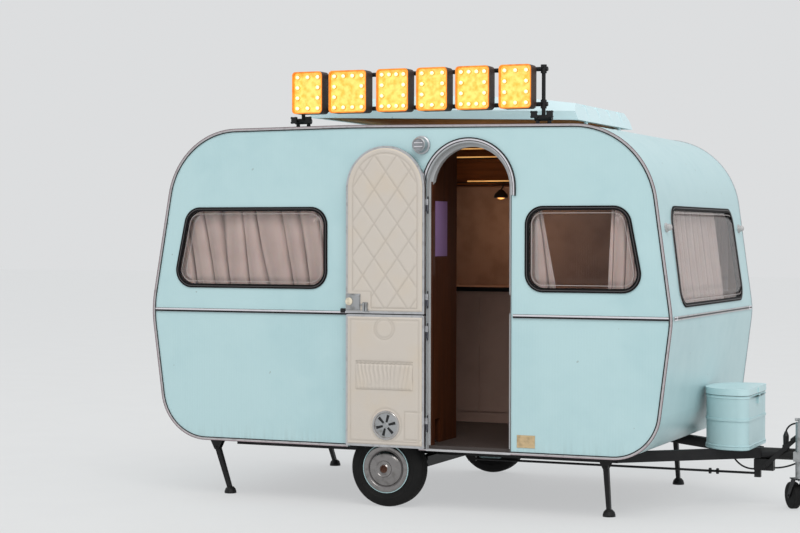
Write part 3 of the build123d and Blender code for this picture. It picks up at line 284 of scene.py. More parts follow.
# %% Metals and rubber
ALUMINIUM = (0.62, 0.61, 0.62)
OXIDE = (0.40, 0.39, 0.39)
BLACK_PAINT = (0.008, 0.008, 0.009)
DUST = (0.045, 0.040, 0.036)
RUBBER = (0.006, 0.0055, 0.006)
SCRATCH_SCALE = (90.0, 90.0, 90.0)


def metal(name, colour, dull, rough):
    """Bare or plated metal with dull patches and fine scratches."""
    finish = Finish(name)
    patch = finish.noise(30.0, 4.0)
    lines = finish.noise(6.0, 2.0, at=finish.stretched(SCRATCH_SCALE))
    tint = finish.mix(colour, dull, patch.ramp(0.45, 0.85))
    gloss = rough + patch * 0.12
    normal = finish.bump(lines, 0.0002)
    return finish.surface(Base_Color=tint, Metallic=1.0, Roughness=gloss, Normal=normal)


def coated(name, colour, dusty, rough, dust_share=0.6, grain=220.0, depth=0.0003, shine=0.3):
    """A plain coat that gathers dust where it faces up."""
    finish = Finish(name)
    patch = finish.noise(14.0, 4.0)
    upward = finish.facing("Z").ramp(0.2, 1.0)
    mask = (patch.ramp(0.35, 0.7) * 0.3 + upward * 0.7) * dust_share
    tint = finish.mix(colour, dusty, mask)
    normal = finish.bump(finish.noise(grain, 2.0), depth)
    return finish.surface(
        Base_Color=tint, Roughness=rough + mask * 0.25, Normal=normal, Specular_IOR_Level=shine
    )


aluminium = metal("moulded_aluminium", ALUMINIUM, OXIDE, 0.27)
frame_aluminium = metal("door_aluminium", (0.58, 0.585, 0.60), OXIDE, 0.34)
zinc = metal("zinc_plate", (0.44, 0.45, 0.46), (0.22, 0.22, 0.21), 0.38)
chrome = metal("bright_chrome", (0.50, 0.485, 0.48), (0.30, 0.28, 0.27), 0.12)
cap_chrome = metal("cap_chrome", (0.27, 0.258, 0.254), (0.16, 0.150, 0.146), 0.13)
darker_chrome = metal("darker_chrome", (0.16, 0.15, 0.15), (0.09, 0.08, 0.078), 0.3)
rust = coated("rusty_steel", (0.075, 0.030, 0.018), (0.14, 0.075, 0.05), 0.75, 0.6, 120.0, 0.0006)
bright_trim = metal("bright_trim", (0.86, 0.84, 0.87), (0.70, 0.68, 0.71), 0.30)
chassis_black = coated("chassis_black", BLACK_PAINT, DUST, 0.45, 0.35)
window_rubber = coated("window_rubber", RUBBER, (0.014, 0.013, 0.014), 0.6, 0.2, shine=0.12)
anodised = coated("anodised_frame", (0.43, 0.435, 0.44), (0.50, 0.50, 0.50), 0.4, 0.3, shine=0.5)
hinge_dark = metal("hinge_steel", (0.15, 0.155, 0.18), (0.07, 0.07, 0.08), 0.4)
hinge_leaf = metal("hinge_leaf", (0.24, 0.25, 0.28), (0.12, 0.12, 0.14), 0.4)
tyre_rubber = coated(
    "tyre_rubber", (0.008, 0.008, 0.008), (0.032, 0.029, 0.026), 0.72, 0.6, 320.0, shine=0.2
)
dark_plastic = coated("dark_plastic", (0.012, 0.012, 0.013), (0.05, 0.05, 0.05), 0.35, 0.3)
shadow_black = coated("underbody_black", (0.010, 0.010, 0.011), (0.03, 0.028, 0.025), 0.8, 0.4)
print("finishes so far:", len(bpy.data.materials))

# %% [markdown]
# ## Timber and vinyl
# The wardrobe and lockers are red-brown varnished ply. The wardrobe's grain runs up, and that of the
# lockers, the lid and the hatch runs along them. The door lining is cream vinyl that has yellowed at
# its edges. Wood grain is noise stretched along one axis, with a second, finer noise for pores. A
# picture of real wood would be quicker, but it repeats and has to be fitted to every piece.

# %% Timber and vinyl
DARK_WOOD = (0.073, 0.0168, 0.0032)
DARK_GRAIN = (0.041, 0.0098, 0.0022)
ALONG_X = (2.0, 26.0, 26.0)
CREAM = (0.575, 0.515, 0.455)
CREAM_AGED = (0.60, 0.50, 0.385)


def timber(name, colour, grain, scale=(26.0, 26.0, 1.6), rough=0.5, varnish=0.08):
    """Wood veneer. varnish is the share of clear coat over it."""
    finish = Finish(name)
    long_grain = finish.noise(1.0, 5.0, 0.65, at=finish.stretched(scale))
    pores = finish.noise(5.0, 3.0, at=finish.stretched(tuple(4 * s for s in scale)))
    tint = finish.mix(colour, grain, long_grain.ramp(0.35, 0.68))
    normal = finish.bump(pores, 0.0003)
    return finish.surface(
        Base_Color=tint, Roughness=rough + pores * 0.15, Normal=normal, Coat_Weight=varnish,
        Specular_IOR_Level=0.2,
    )


def leathercloth(name, colour, aged, rough=0.5, seam_and_groove_shade=None):
    """Grained vinyl: fine pebbles and slow changes of colour, and seam_and_groove_shade in marked grooves,
    as painted shade and as seams.
    """
    finish = Finish(name)
    slow = finish.noise(4.0, 3.0)
    pebble = finish.node("ShaderNodeTexVoronoi", {}, {"Vector": finish.place, "Scale": 900.0})
    tint = finish.mix(colour, aged, slow.ramp(0.45, 0.8) * 0.6)
    if seam_and_groove_shade:
        tint = finish.mix(tint, seam_and_groove_shade, finish.drawn("groove"))
    normal = finish.bump(pebble, 0.00022)
    return finish.surface(Base_Color=tint, Roughness=rough + slow * 0.1, Normal=normal)


dark_wood = timber("red_brown_ply", DARK_WOOD, DARK_GRAIN, varnish=0.12)
locker_wood = timber("locker_ply", (0.21, 0.074, 0.025), (0.12, 0.041, 0.014), (1.6, 26.0, 26.0))
# Painted light: the lid's underside is far brighter than the hatch frame's wood, standing in for light on
# it.
lid_wood_painted_bright = timber("lid_underside", (0.86, 0.53, 0.22), (0.52, 0.30, 0.12), ALONG_X, 0.6, 0.0)
hatch_wood = timber("hatch_frame_wood", (0.46, 0.27, 0.13), (0.31, 0.17, 0.08), ALONG_X, 0.6, 0.0)
# Painted shade: this seam colour darkens the lining's grooves and the pocket's folds.
door_vinyl = leathercloth("cream_vinyl", CREAM, CREAM_AGED, seam_and_groove_shade=(0.36, 0.315, 0.265))
edge_vinyl = leathercloth("yellowed_vinyl", (0.60, 0.53, 0.44), (0.56, 0.46, 0.35))
floor_vinyl = leathercloth("floor_covering", (0.055, 0.042, 0.038), (0.085, 0.066, 0.06), 0.45)
counter_front = leathercloth("counter_front", (0.47, 0.305, 0.245), (0.385, 0.25, 0.20), 0.6)
print("finishes so far:", len(bpy.data.materials))

# %% [markdown]
# ## Clear acrylic
# A bulged acrylic pane is see-through with a mirror-like sheen that grows towards grazing views. Real
# refraction needs many samples and blackens what lies behind it, so the pane mixes a clear surface
# with a glossy one, by Fresnel. That is how thin glass behaves anyway.

# %% Acrylic
PANE_TINT = (0.965, 0.95, 0.935)
PANE_VEIL = 0.006
PANE_SHEEN = 0.31
ACRYLIC_IOR = 1.42


def acrylic(name):
    """A clear surface with a sheen that Fresnel mixes in."""
    finish = Finish(name)
    clear = finish.node("ShaderNodeBsdfTransparent", {}, {"Color": PANE_TINT})
    haze = finish.noise(3.0, 2.0)
    gloss = {"Base Color": (0.80, 0.80, 0.82), "Metallic": 1.0, "Roughness": 0.05 + haze * 0.05}
    sheen = finish.node("ShaderNodeBsdfPrincipled", {}, gloss)
    rim = finish.node("ShaderNodeFresnel", {}, {"IOR": ACRYLIC_IOR})
    mask = rim * PANE_SHEEN + PANE_VEIL
    mixed = finish.node("ShaderNodeMixShader", {}, {0: mask, 1: clear, 2: sheen})
    finish.tree.links.new(mixed.socket, finish.out.inputs["Surface"])
    return finish.material


pane = acrylic("bulged_acrylic")
print("nodes in the pane's finish:", len(pane.node_tree.nodes))

# %% [markdown]
# ## Lamps
# Lenses are glossy plastic with moulded lines. The roof sign's bulbs are warm white lamps, and the
# light that they throw on the orange enamel of its faces and rims is painted on, so all of them glow:
# emission is how a surface gives light off in Cycles. A lamp in every bulb would do it too, but so many
# lamps are slow to render.

# %% Lamp finishes
def lens(name, colour, pitch):
    """Glossy plastic with level ribs at a pitch."""
    finish = Finish(name)
    lines = (finish.axis("Z") * (2 * math.pi / pitch)).sine() * 0.5 + 0.5
    haze = finish.noise(40.0, 2.0)
    tint = finish.mix(colour, tuple(0.7 * c for c in colour), haze.ramp(0.4, 0.8))
    return finish.surface(Base_Color=tint, Roughness=0.16 + haze * 0.1, Normal=finish.bump(lines, 0.0006))


def lit(name, colour, deep, strength, scale):
    """A glowing surface whose colour deepens in patches, for lamps and for painted light on parts that are
    no lamps.
    """
    finish = Finish(name)
    patch = finish.noise(scale, 3.0)
    tint = finish.mix(colour, deep, patch.ramp(0.35, 0.75))
    return finish.surface(
        Base_Color=tint, Roughness=0.4 + patch * 0.1, Emission_Color=tint, Emission_Strength=strength
    )


grey_lens = lens("grey_lens", (0.30, 0.31, 0.33), 0.006)
white_lens = lens("white_lens", (0.50, 0.485, 0.48), 0.004)
red_lens = lens("red_lens", (0.42, 0.015, 0.01), 0.005)
plate_yellow = lens("plate_face", (0.55, 0.40, 0.22), 0.02)
# Painted light: the sign's faces glow with the light of its bulbs.
sign_face_painted_glow = lit("lit_orange_face", (0.98, 0.56, 0.13), (0.95, 0.36, 0.035), 0.62, 34.0)
bulb_glow = lit("warm_bulb", (1.0, 0.86, 0.50), (1.0, 0.74, 0.32), 1.15, 60.0)
strip_glow = lit("warm_strip", (0.95, 0.52, 0.17), (0.50, 0.19, 0.05), 0.62, 7.0)
print("finishes so far:", len(bpy.data.materials))

# %% [markdown]
# ## Finishes for the CAD pieces
# A table says which finish each CAD node wears. Their meshes stay as they are. The round lamp and the
# nodes that a finer piece replaces are dressed further down.

# %% CAD finishes
WORN_BY = [
    (aluminium, "edge_mouldings"),
    (bright_trim, "drip_moulding"),
    (frame_aluminium, "door_upper door_lower"),
    (hinge_dark, "door_hinges"),
    (window_rubber, "window_rubbers"),
    (pane, "window_panes"),
    (floor_vinyl, "floor"),
    (shadow_black, "wheel_boxes"),
    (chassis_black, "chassis axle draw_tube junction_block coupling_head hand_brake brake_rod"),
    (chassis_black, "steady_front_right steady_front_left steady_rear_right steady_rear_left"),
    (chassis_black, "steady_brackets jockey_fork sign_rack"),
    (zinc, "jockey_clamp jockey_stem roof_lid_hinges"),
    (tyre_rubber, "jockey_wheel"),
    (enamel, "gas_locker locker_hinge rim_right rim_left"),
    (locker_enamel, "gas_locker_lid"),
    (lid_enamel, "roof_lid"),
    (lid_wood_painted_bright, "roof_lid_lining"),
    (hatch_wood, "hatch_frame"),
    (dark_plastic, "cables"),
    (dark_wood, "wardrobe"),
    (counter_front, "kitchen_unit"),
    (locker_wood, "overhead_lockers"),
    (white_lens, "marker_lamps"),
    (red_lens, "rear_lamps"),
    (plate_yellow, "side_plate"),
    *((finish, name) for name, finish in side_paint.items()),
]


def wear(obj, finish):
    """Give an object one finish in place of what it had."""
    obj.data.materials.clear()
    obj.data.materials.append(finish)


for finish, names in WORN_BY:
    for name in names.split():
        wear(nodes[name], finish)
print("CAD nodes with a finish:", sum(len(names.split()) for finish, names in WORN_BY))

# %% [markdown]
# ## Making pieces
# Small helpers turn a bmesh into a named piece that rides on a body. Shading is smooth, with edges
# kept crisp where two faces meet at more than an angle, so a bevelled edge catches light and a flat
# stays flat.

# %% Piece helpers
CRISP_ANGLE = math.radians(38)
SAME_PLACE = 1e-6
CAD_MERGE = 2e-5


def copy_of(node):
    """A CAD node's mesh with its loose triangles merged."""
    mesh = bmesh.new()
    mesh.from_mesh(nodes[node].data)
    bmesh.ops.remove_doubles(mesh, verts=mesh.verts[:], dist=CAD_MERGE)
    mesh.normal_update()
    return mesh


def verts_of(made):
    """The vertices among what an operator returned."""
    return [item for item in made["geom"] if isinstance(item, bmesh.types.BMVert)]


def raise_copy(mesh):
    """Extrude all faces, keep the old ones too, and return the new vertices."""
    return verts_of(bmesh.ops.extrude_face_region(mesh, geom=mesh.faces[:], use_keep_orig=True))


def place_piece(mesh, name, finishes, body="caravan", recalc=True):
    """Make a bmesh a piece that rides on a body. finishes is one finish or a list of them."""
    bmesh.ops.remove_doubles(mesh, verts=mesh.verts[:], dist=SAME_PLACE)
    if recalc:
        bmesh.ops.recalc_face_normals(mesh, faces=mesh.faces[:])
    for face in mesh.faces:
        face.smooth = True
    for edge in mesh.edges:
        edge.smooth = len(edge.link_faces) != 2 or edge.calc_face_angle(0.0) < CRISP_ANGLE
    data = bpy.data.meshes.new(name)
    mesh.to_mesh(data)
    mesh.free()
    obj = bpy.data.objects.new(name, data)
    scene.collection.objects.link(obj)
    for finish in finishes if isinstance(finishes, list) else [finishes]:
        data.materials.append(finish)
    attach(obj, body)
    print(name, "faces:", len(data.polygons))
    return obj


# %% [markdown]
# ## Basic shapes
# Blocks, rods, lathed parts and flat plates make up the small fittings. Each could be an object of its
# own, but shapes that belong to one fitting are drawn into one bmesh, so that the list of pieces stays
# short and each piece has one finish or a few.

# %% Basic shapes
def add_block(mesh, low, high, bevel):
    """A box between two corners, with its edges rounded."""
    low, high = Vector(low), Vector(high)
    size = Matrix.Diagonal((*(high - low), 1.0))
    made = bmesh.ops.create_cube(mesh, size=1.0, matrix=Matrix.Translation((low + high) / 2) @ size)
    edges = {edge for vert in made["verts"] for edge in vert.link_edges}
    bmesh.ops.bevel(
        mesh, geom=list(edges), offset=bevel, segments=2, profile=0.5, affect="EDGES", material=-1
    )


def add_rod(mesh, start, end, radius, segments=24):
    """A round bar between two points."""
    start, end = Vector(start), Vector(end)
    along = end - start
    turned = Matrix.Translation((start + end) / 2) @ along.to_track_quat("Z", "Y").to_matrix().to_4x4()
    bmesh.ops.create_cone(
        mesh, cap_ends=True, segments=segments, radius1=radius, radius2=radius, depth=along.length,
        matrix=turned,
    )


def add_lathe(mesh, profile, centre, axis, segments=64):
    """Spin a profile of (radius, distance along the axis) points about an axis."""
    axis = Vector(axis).normalized()
    side = axis.orthogonal().normalized()
    centre = Vector(centre)
    points = [mesh.verts.new(centre + side * radius + axis * along) for radius, along in profile]
    edges = [mesh.edges.new(pair) for pair in zip(points, points[1:])]
    bmesh.ops.spin(
        mesh, geom=points + edges, cent=centre, axis=axis, angle=2 * math.pi, steps=segments, use_merge=True
    )
    bmesh.ops.remove_doubles(mesh, verts=mesh.verts[:], dist=SAME_PLACE)


def add_plate(mesh, outline, depth):
    """A flat plate from a closed outline of points, given its depth as a vector."""
    face = mesh.faces.new([mesh.verts.new(point) for point in outline])
    grown = bmesh.ops.extrude_face_region(mesh, geom=[face])
    bmesh.ops.translate(mesh, verts=verts_of(grown), vec=Vector(depth))


# %% [markdown]
# ## Strips let into the mouldings
# The edge moulding is an aluminium section. Seen from outside it reads as thin lines: black sealant,
# bright metal, a soft pinkish strip and a dark line of painted shade where the moulding turns at its
# outer edge. Each line follows the moulding exactly, so it grows from the moulding's own outer edge:
# the edge is copied, moved inwards by the line's start, extruded by the line's width and raised a
# little. A vertex layer remembers which way is inwards.

# %% Edge lines
BODY_CENTRE = Vector((-0.03, 0.0, 1.25))
strip_pink = leathercloth("pinkish_strip", (0.42, 0.33, 0.35), (0.34, 0.28, 0.29), 0.4)
strip_black = coated("black_strip", (0.007, 0.007, 0.009), (0.02, 0.02, 0.02), 0.35, 0.2)
strip_pale = metal("pale_rail", (0.90, 0.88, 0.92), (0.78, 0.76, 0.80), 0.33)


def outer_edge_of(node, is_flat, centre_of):
    """The outer edge of a moulding's flat faces, as loose edges that know inwards and outwards."""
    mesh = copy_of(node)
    facing = {}
    for edge in mesh.edges:
        flat = [face for face in edge.link_faces if is_flat(face)]
        steep = [face for face in edge.link_faces if not is_flat(face)]
        if len(flat) == 1 and len(steep) == 1:
            middle = (edge.verts[0].co + edge.verts[1].co) / 2
            away = middle - centre_of(middle)
            away -= away.project(flat[0].normal)
            if steep[0].normal.dot(away.normalized()) > 0.1:
                facing[edge] = flat[0].normal.copy()
    inward = mesh.verts.layers.float_vector.new("inward")
    outward = mesh.verts.layers.float_vector.new("outward")
    for vert in mesh.verts:
        total = Vector()
        for edge in vert.link_edges:
            if edge in facing:
                side = (edge.verts[1].co - edge.verts[0].co).cross(facing[edge]).normalized()
                total += side if side.dot(centre_of(vert.co) - vert.co) > 0 else -side
                vert[outward] = facing[edge]
        vert[inward] = total.normalized()
    bmesh.ops.delete(mesh, geom=[edge for edge in mesh.edges if edge not in facing], context="EDGES")
    bmesh.ops.delete(mesh, geom=[vert for vert in mesh.verts if not vert.link_edges], context="VERTS")
    return mesh, inward, outward


def edge_line(node, name, ring, start, width, lift, finish):
    """A thin raised line along a moulding, starting a given distance inside its outer edge."""
    mesh, inward, outward = outer_edge_of(node, *ring)
    for vert in mesh.verts:
        vert.co += vert[inward] * start
    for vert in verts_of(bmesh.ops.extrude_edge_only(mesh, edges=mesh.edges[:])):
        vert.co += vert[inward] * width
    for vert in raise_copy(mesh):
        vert.co += vert[outward] * lift
    for layer in ("inward", "outward"):
        mesh.verts.layers.float_vector.remove(mesh.verts.layers.float_vector[layer])
    place_piece(mesh, name, finish)


edge_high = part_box("edge_mouldings")[1]


def edge_face(face):
    return abs(face.normal.y) > 0.99 and abs(face.calc_center_median().y) > edge_high.y - 0.0005


def body_middle(spot):
    return Vector((BODY_CENTRE.x, spot.y, BODY_CENTRE.z))


edge_ring = (edge_face, body_middle)
# The outermost dark line is painted shade along the moulding's turned edge.
edge_line("edge_mouldings", "painted_edge_shade", edge_ring, 0.0, 0.0022, 0.0008, strip_black)
edge_line("edge_mouldings", "edge_strip", edge_ring, 0.0028, 0.0040, 0.0012, strip_pink)
edge_line("edge_mouldings", "edge_seal", edge_ring, 0.0145, 0.0062, 0.0010, strip_black)

# %% [markdown]
# A window rubber is a black section with a filler strip pressed into its middle, which shows as a thin
# grey line all round. Where the pane steps in behind its lip, a pale line is a painted highlight on that
# step. Both lines run parallel to the flange's outer edge, so the same helper draws them.

# %% Window lines
WINDOW_MIDDLE_Z = 1.45
WINDOW_PLACES = [(-1.46, -0.96), (0.62, -0.96), (-1.46, 0.96), (0.62, 0.96), (1.09, 0.0), (-2.03, 0.0)]
WINDOW_CENTRES = [Vector((x, y, WINDOW_MIDDLE_Z)) for x, y in WINDOW_PLACES]
SIDE_Y = 0.90
FLANGE_Y = 0.962
filler = coated("rubber_filler", (0.085, 0.078, 0.080), (0.12, 0.11, 0.11), 0.35, 0.3)


def nearest_window(spot):
    return min(WINDOW_CENTRES, key=lambda centre: (centre - spot).length_squared)


def window_face(face):
    """A flange's outer face: it looks away from the cabin and is wide and flat."""
    spot = face.calc_center_median()
    if abs(spot.y) > SIDE_Y:
        return face.normal.y * math.copysign(1.0, spot.y) > 0.99 and abs(spot.y) > FLANGE_Y
    return face.normal.x * math.copysign(1.0, spot.x) > 0.9


window_ring = (window_face, nearest_window)
edge_line("window_rubbers", "rubber_filler", window_ring, 0.0095, 0.0034, 0.0006, filler)
# A painted highlight along the step of the pane.
pane_step_highlight = coated("pane_step_highlight", (0.50, 0.445, 0.43), (0.56, 0.51, 0.50), 0.3, 0.3)
edge_line("window_rubbers", "pane_step_lines", window_ring, 0.0385, 0.0026, 0.0004, pane_step_highlight)

# %% [markdown]
# Along the sides the waist rail has a bright upper half, a black lower half and a thin dark line over
# them. Its outer face is copied, cut level at two heights with bisect, and raised. Strips of their own
# would have to follow the rail's bends, and a copy of its face already does.

# %% Rail bands
rail_low, rail_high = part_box("waist_rails")
RAIL_MIDDLE = (rail_low.z + rail_high.z) / 2


def on_side(face):
    return abs(face.normal.y) > 0.99 and abs(face.calc_center_median().y) > rail_high.y - 0.001


def rail_band(name, low, high, lift, finish):
    """A band of the side rails' outer faces between two heights from their middle, lifted off them."""
    mesh = copy_of("waist_rails")
    bmesh.ops.delete(mesh, geom=[face for face in mesh.faces if not on_side(face)], context="FACES")
    for level, up in ((low, -1.0), (high, 1.0)):
        bmesh.ops.bisect_plane(
            mesh, geom=mesh.verts[:] + mesh.edges[:] + mesh.faces[:],
            plane_co=(0, 0, RAIL_MIDDLE + level), plane_no=(0, 0, up), clear_outer=True,
        )
    way = {vert: vert.normal.copy() for vert in mesh.verts}
    for vert in raise_copy(mesh):
        facing = min(way, key=lambda other: (other.co - vert.co).length_squared)
        vert.co += way[facing] * lift
    place_piece(mesh, name, finish)


rail_band("rail_bright", 0.0, 0.009, 0.0015, strip_pale)
rail_band("rail_black", -0.0105, -0.0005, 0.0022, strip_black)
rail_band("rail_shade", 0.0092, 0.0110, 0.0006, strip_black)

# %% [markdown]
# The end rails reach the ends of the whole model, so nothing is raised on them, as it would stand out
# past the ends. The end rails reach the ends of the whole model, so nothing may be raised on them. Their
# filler is drawn in place: the rail is cut with bisect and each face takes a finish by where it lies.
# The filler stops short of each corner in a small bright end piece with a dark slot.

# %% Rail ends
END_FACING = 0.8
FILLER_HALF = 0.0045
PLATE_SPAN = (0.859, 0.944)
SLOT_SPAN = (0.873, 0.930)
SLOT_HALF = 0.0040


def banded(node, name, cuts, choose, finishes):
    """A copy of a CAD piece that is cut in place, so that its faces can take different finishes."""
    mesh = copy_of(node)
    for place, way in cuts:
        everything = mesh.verts[:] + mesh.edges[:] + mesh.faces[:]
        bmesh.ops.bisect_plane(mesh, geom=everything, plane_co=place, plane_no=way)
    mesh.normal_update()
    for face in mesh.faces:
        face.material_index = choose(face)
    made = place_piece(mesh, name, finishes, recalc=False)
    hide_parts(node)


def rail_finish(face):
    """Which of aluminium, pale metal and black a face of the waist rail wears."""
    spot = face.calc_center_median()
    off, away = abs(spot.z - RAIL_MIDDLE), abs(spot.y)
    if abs(face.normal.x) < END_FACING:
        return 0
    if PLATE_SPAN[0] < away < PLATE_SPAN[1]:
        return 2 if SLOT_SPAN[0] < away < SLOT_SPAN[1] and off < SLOT_HALF else 1
    return 2 if away < PLATE_SPAN[0] and off < FILLER_HALF else 0


heights = (-FILLER_HALF, -SLOT_HALF, SLOT_HALF, FILLER_HALF)
cuts = [((0, 0, RAIL_MIDDLE + off), (0, 0, 1)) for off in heights]
cuts += [((0, side * away, 0), (0, 1, 0)) for away in (*PLATE_SPAN, *SLOT_SPAN) for side in (-1, 1)]
rail_finishes = [aluminium, strip_pale, strip_black]
banded("waist_rails", "banded_rails", cuts, rail_finish, rail_finishes)

# %% [markdown]
# ## Trim around the doorway
# A bright aluminium angle lines the opening, and the drip moulding over the arch has a dark outer lip.
# Each is an arch of constant width: half a ring continues into two straight legs. One function gives
# the outline at any offset, two outlines are bridged into a flat band, and the band is raised. A
# bevelled curve could follow the arch as well, but a flat band on the wall is easier to set exactly.

# %% Doorway trim
DOOR_LEFT = -0.3045
DOOR_RIGHT = 0.2020
DOOR_SPRING = 1.827
WALL_FACE = -0.957
ARCH_STEPS = 48
KEEPER_X = (-0.838, -0.806)
KEEPER_Z = (1.113, 1.139)


def arch_line(grow, left_foot, right_foot):
    """Points of the doorway outline grown by grow, up the left leg, over and down the right leg."""
    radius = (DOOR_RIGHT - DOOR_LEFT) / 2 + grow
    middle = (DOOR_RIGHT + DOOR_LEFT) / 2
    points = [(middle - radius, left_foot)]
    for step in range(ARCH_STEPS + 1):
        angle = math.pi - math.pi * step / ARCH_STEPS
        points.append((middle + radius * math.cos(angle), DOOR_SPRING + radius * math.sin(angle)))
    points.append((middle + radius, right_foot))
    return points


def arch_band(name, inner, outer, feet, y, proud, finish):
    """A flat arched band between two offsets of the doorway, standing proud of y."""
    mesh = bmesh.new()
    lines = [[mesh.verts.new((x, y, z)) for x, z in arch_line(grow, *feet)] for grow in (inner, outer)]
    edges = [mesh.edges.new(pair) for line in lines for pair in zip(line, line[1:])]
    bmesh.ops.bridge_loops(mesh, edges=edges)
    for vert in raise_copy(mesh):
        vert.co.y -= proud
    place_piece(mesh, name, finish)


DRIP_FOOT = DOOR_SPRING - 0.043
SILL_TOP = 0.351
CLEAR = 0.0003
wall = WALL_FACE - CLEAR
open_feet = (SILL_TOP, DRIP_FOOT)
arch_band("door_angle", 0.0005, 0.0078, open_feet, wall, 0.0030, frame_aluminium)
arch_band("door_angle_line", 0.0078, 0.0122, open_feet, wall, 0.0045, strip_black)
lip_feet = (DRIP_FOOT - 0.004, DRIP_FOOT - 0.004)
arch_band("drip_lip", 0.0215, 0.0285, lip_feet, wall, 0.0105, strip_black)
mesh = bmesh.new()
add_block(mesh, (DOOR_RIGHT + 0.0005, wall - 0.003, SILL_TOP), (DOOR_RIGHT + 0.003, wall, DRIP_FOOT), 0.0005)
add_block(mesh, (DOOR_LEFT - 0.009, wall - 0.0055, SILL_TOP), (DOOR_LEFT - 0.001, wall, DOOR_SPRING), 0.001)
place_piece(mesh, "door_edge_seals", strip_black)
mesh = bmesh.new()
add_block(
    mesh, (DOOR_LEFT - 0.001, wall - 0.006, SILL_TOP - 0.010), (DOOR_RIGHT + 0.001, wall, SILL_TOP + 0.001),
    0.001,
)
place_piece(mesh, "sill_strip", bright_trim)
mesh = bmesh.new()
add_block(mesh, (KEEPER_X[0], WALL_FACE - 0.009, KEEPER_Z[0]), (KEEPER_X[1], wall, KEEPER_Z[1]), 0.003)
place_piece(mesh, "leaf_keeper", dark_plastic)

# %% [markdown]
# A leaf is painted outside and bare at its edges. The jamb on the hinge side is covered with the
# wardrobe's own wood, and each hinge has a second leaf screwed to the wall's reveal. Paint and wood
# need no thickness of their own, so faces of the CAD meshes take a second finish instead.

# %% Leaf and jamb faces
JAMB_BARE = 0.0125
JAMB_WIDTH = 0.024
HINGE_SPANS = [(1.682, 1.780), (1.146, 1.244), (0.965, 1.063), (0.444, 0.542)]


def second_finish(node, finish, choose):
    """Give the faces that choose picks a finish of their own."""
    data = nodes[node].data
    data.materials.append(finish)
    for polygon in data.polygons:
        if choose(polygon):
            polygon.material_index = len(data.materials) - 1


def outside_of_leaf(polygon):
    return polygon.normal.y > 0.9


def jamb_finish(face):
    """1 for the wood on the hinge side's jamb, past its bare front strip."""
    spot = face.calc_center_median()
    covered = JAMB_BARE < spot.x - DOOR_LEFT < JAMB_WIDTH and SILL_TOP < spot.z < DOOR_SPRING + 0.04
    return 1 if covered else 0


leaf_enamel = paint("leaf_enamel", ribs=True)
for leaf in ("door_upper", "door_lower"):
    second_finish(leaf, leaf_enamel, outside_of_leaf)
jamb_cut = [((DOOR_LEFT + JAMB_BARE, 0, 0), (1, 0, 0))]
banded("door_frame", "lined_door_frame", jamb_cut, jamb_finish, [anodised, dark_wood])
mesh = bmesh.new()
for foot, top in HINGE_SPANS:
    low = (DOOR_LEFT + 0.0004, WALL_FACE + 0.001, foot)
    add_block(mesh, low, (DOOR_LEFT + 0.0036, WALL_FACE + 0.024, top), 0.001)
place_piece(mesh, "hinge_leaves", hinge_leaf)

# %% [markdown]
# ## Arched outline
# Both the lining of the upper leaf and the leaf itself end in a half circle. Two small functions know
# that outline: one moves a point that lies outside onto it, and one says how deep inside a point lies.
# A cut with a boolean would leave a ragged grid, while a grid that is moved onto the outline stays even.

# %% Arched outline
def arch_of(low, high):
    """Middle, radius and foot of the half circle on top of a rectangle."""
    radius = (high.x - low.x) / 2
    return (high.x + low.x) / 2, radius, high.z - radius


def clamp_to_arch(x, z, low, high):
    """The nearest place inside a rectangle with a half-round top."""
    middle, radius, spring = arch_of(low, high)
    x = min(max(x, low.x), high.x)
    z = max(z, low.z)
    if z > spring:
        out = math.hypot(x - middle, z - spring)
        if out > radius:
            x = middle + (x - middle) * radius / out
            z = spring + (z - spring) * radius / out
    return x, z


def arch_depth(x, z, low, high):
    """How far a point lies inside the arched outline."""
    middle, radius, spring = arch_of(low, high)
    if z > spring:
        return radius - math.hypot(x - middle, z - spring)
    return min(x - low.x, high.x - x)


# %% [markdown]
# ## Door lining
# The upper leaf's lining is padded vinyl, embossed in tall diamonds inside a smooth border, with a
# plain moulded corner behind the latch. Real depth is needed, because the grooves catch light from
# the side. A formula gives the height at each place: how far it is from the nearest groove.

# %% Upper relief
DIAMOND_WIDTH = 0.1426
DIAMOND_HEIGHT = 0.196
DIAMOND_AT = (-0.537, 1.7222)
BORDER = 0.030
GROOVE = 0.0040
PAD_RISE = 0.0048
PAD_EDGE = 0.006
FIELD_RISE = 0.0008
LATCH_CORNER = (-0.628, 1.235)
PANEL_FOOT = 1.1445


def groove(distance, width=GROOVE):
    """1 in the bottom of a groove, fading to 0 away from it."""
    return math.exp(-((distance / width) ** 2))


def upper_relief(x, z, low, high):
    """Height of the upper lining above its backing, and how deep in a groove it is."""
    inside = arch_depth(x, z, low, high)
    edge = min(inside, z - low.z)
    rise = PAD_RISE * min(1.0, max(edge, 0.0) / PAD_EDGE)
    frame_line = min(inside - BORDER, z - PANEL_FOOT)
    latch_x = x - LATCH_CORNER[0]
    latch_z = z - LATCH_CORNER[1]
    if latch_x < 0 and latch_z < 0:
        corner = -1.0
    elif latch_x > 0 and latch_z > 0:
        corner = min(math.hypot(latch_x, latch_z), 1.0)
    else:
        corner = max(latch_x, latch_z)
    field = min(frame_line, corner)
    cut = groove(field)
    if field > 0:
        rising = (x - DIAMOND_AT[0]) / DIAMOND_WIDTH + (z - DIAMOND_AT[1]) / DIAMOND_HEIGHT
        falling = (x - DIAMOND_AT[0]) / DIAMOND_WIDTH - (z - DIAMOND_AT[1]) / DIAMOND_HEIGHT
        scale = math.hypot(1 / DIAMOND_WIDTH, 1 / DIAMOND_HEIGHT)
        for line in (rising, falling):
            away = abs(line - round(line)) / scale
            cut = max(cut, groove(away))
        rise += FIELD_RISE * min(1.0, field / 0.01)
    return rise - cut * PAD_RISE * 0.7, cut


# %% [markdown]
# A fine grid is clamped to the outline and raised by the formula. Its rim is then extruded back to the
# leaf, so that the pad is closed from the side. Sculpting would be slower and less even.

# %% Linings
GRID_STEP = 0.005
PAD_FOOT = 0.0027
BINDING = 0.007
PAINTED_GROOVE_SHADE = 0.36


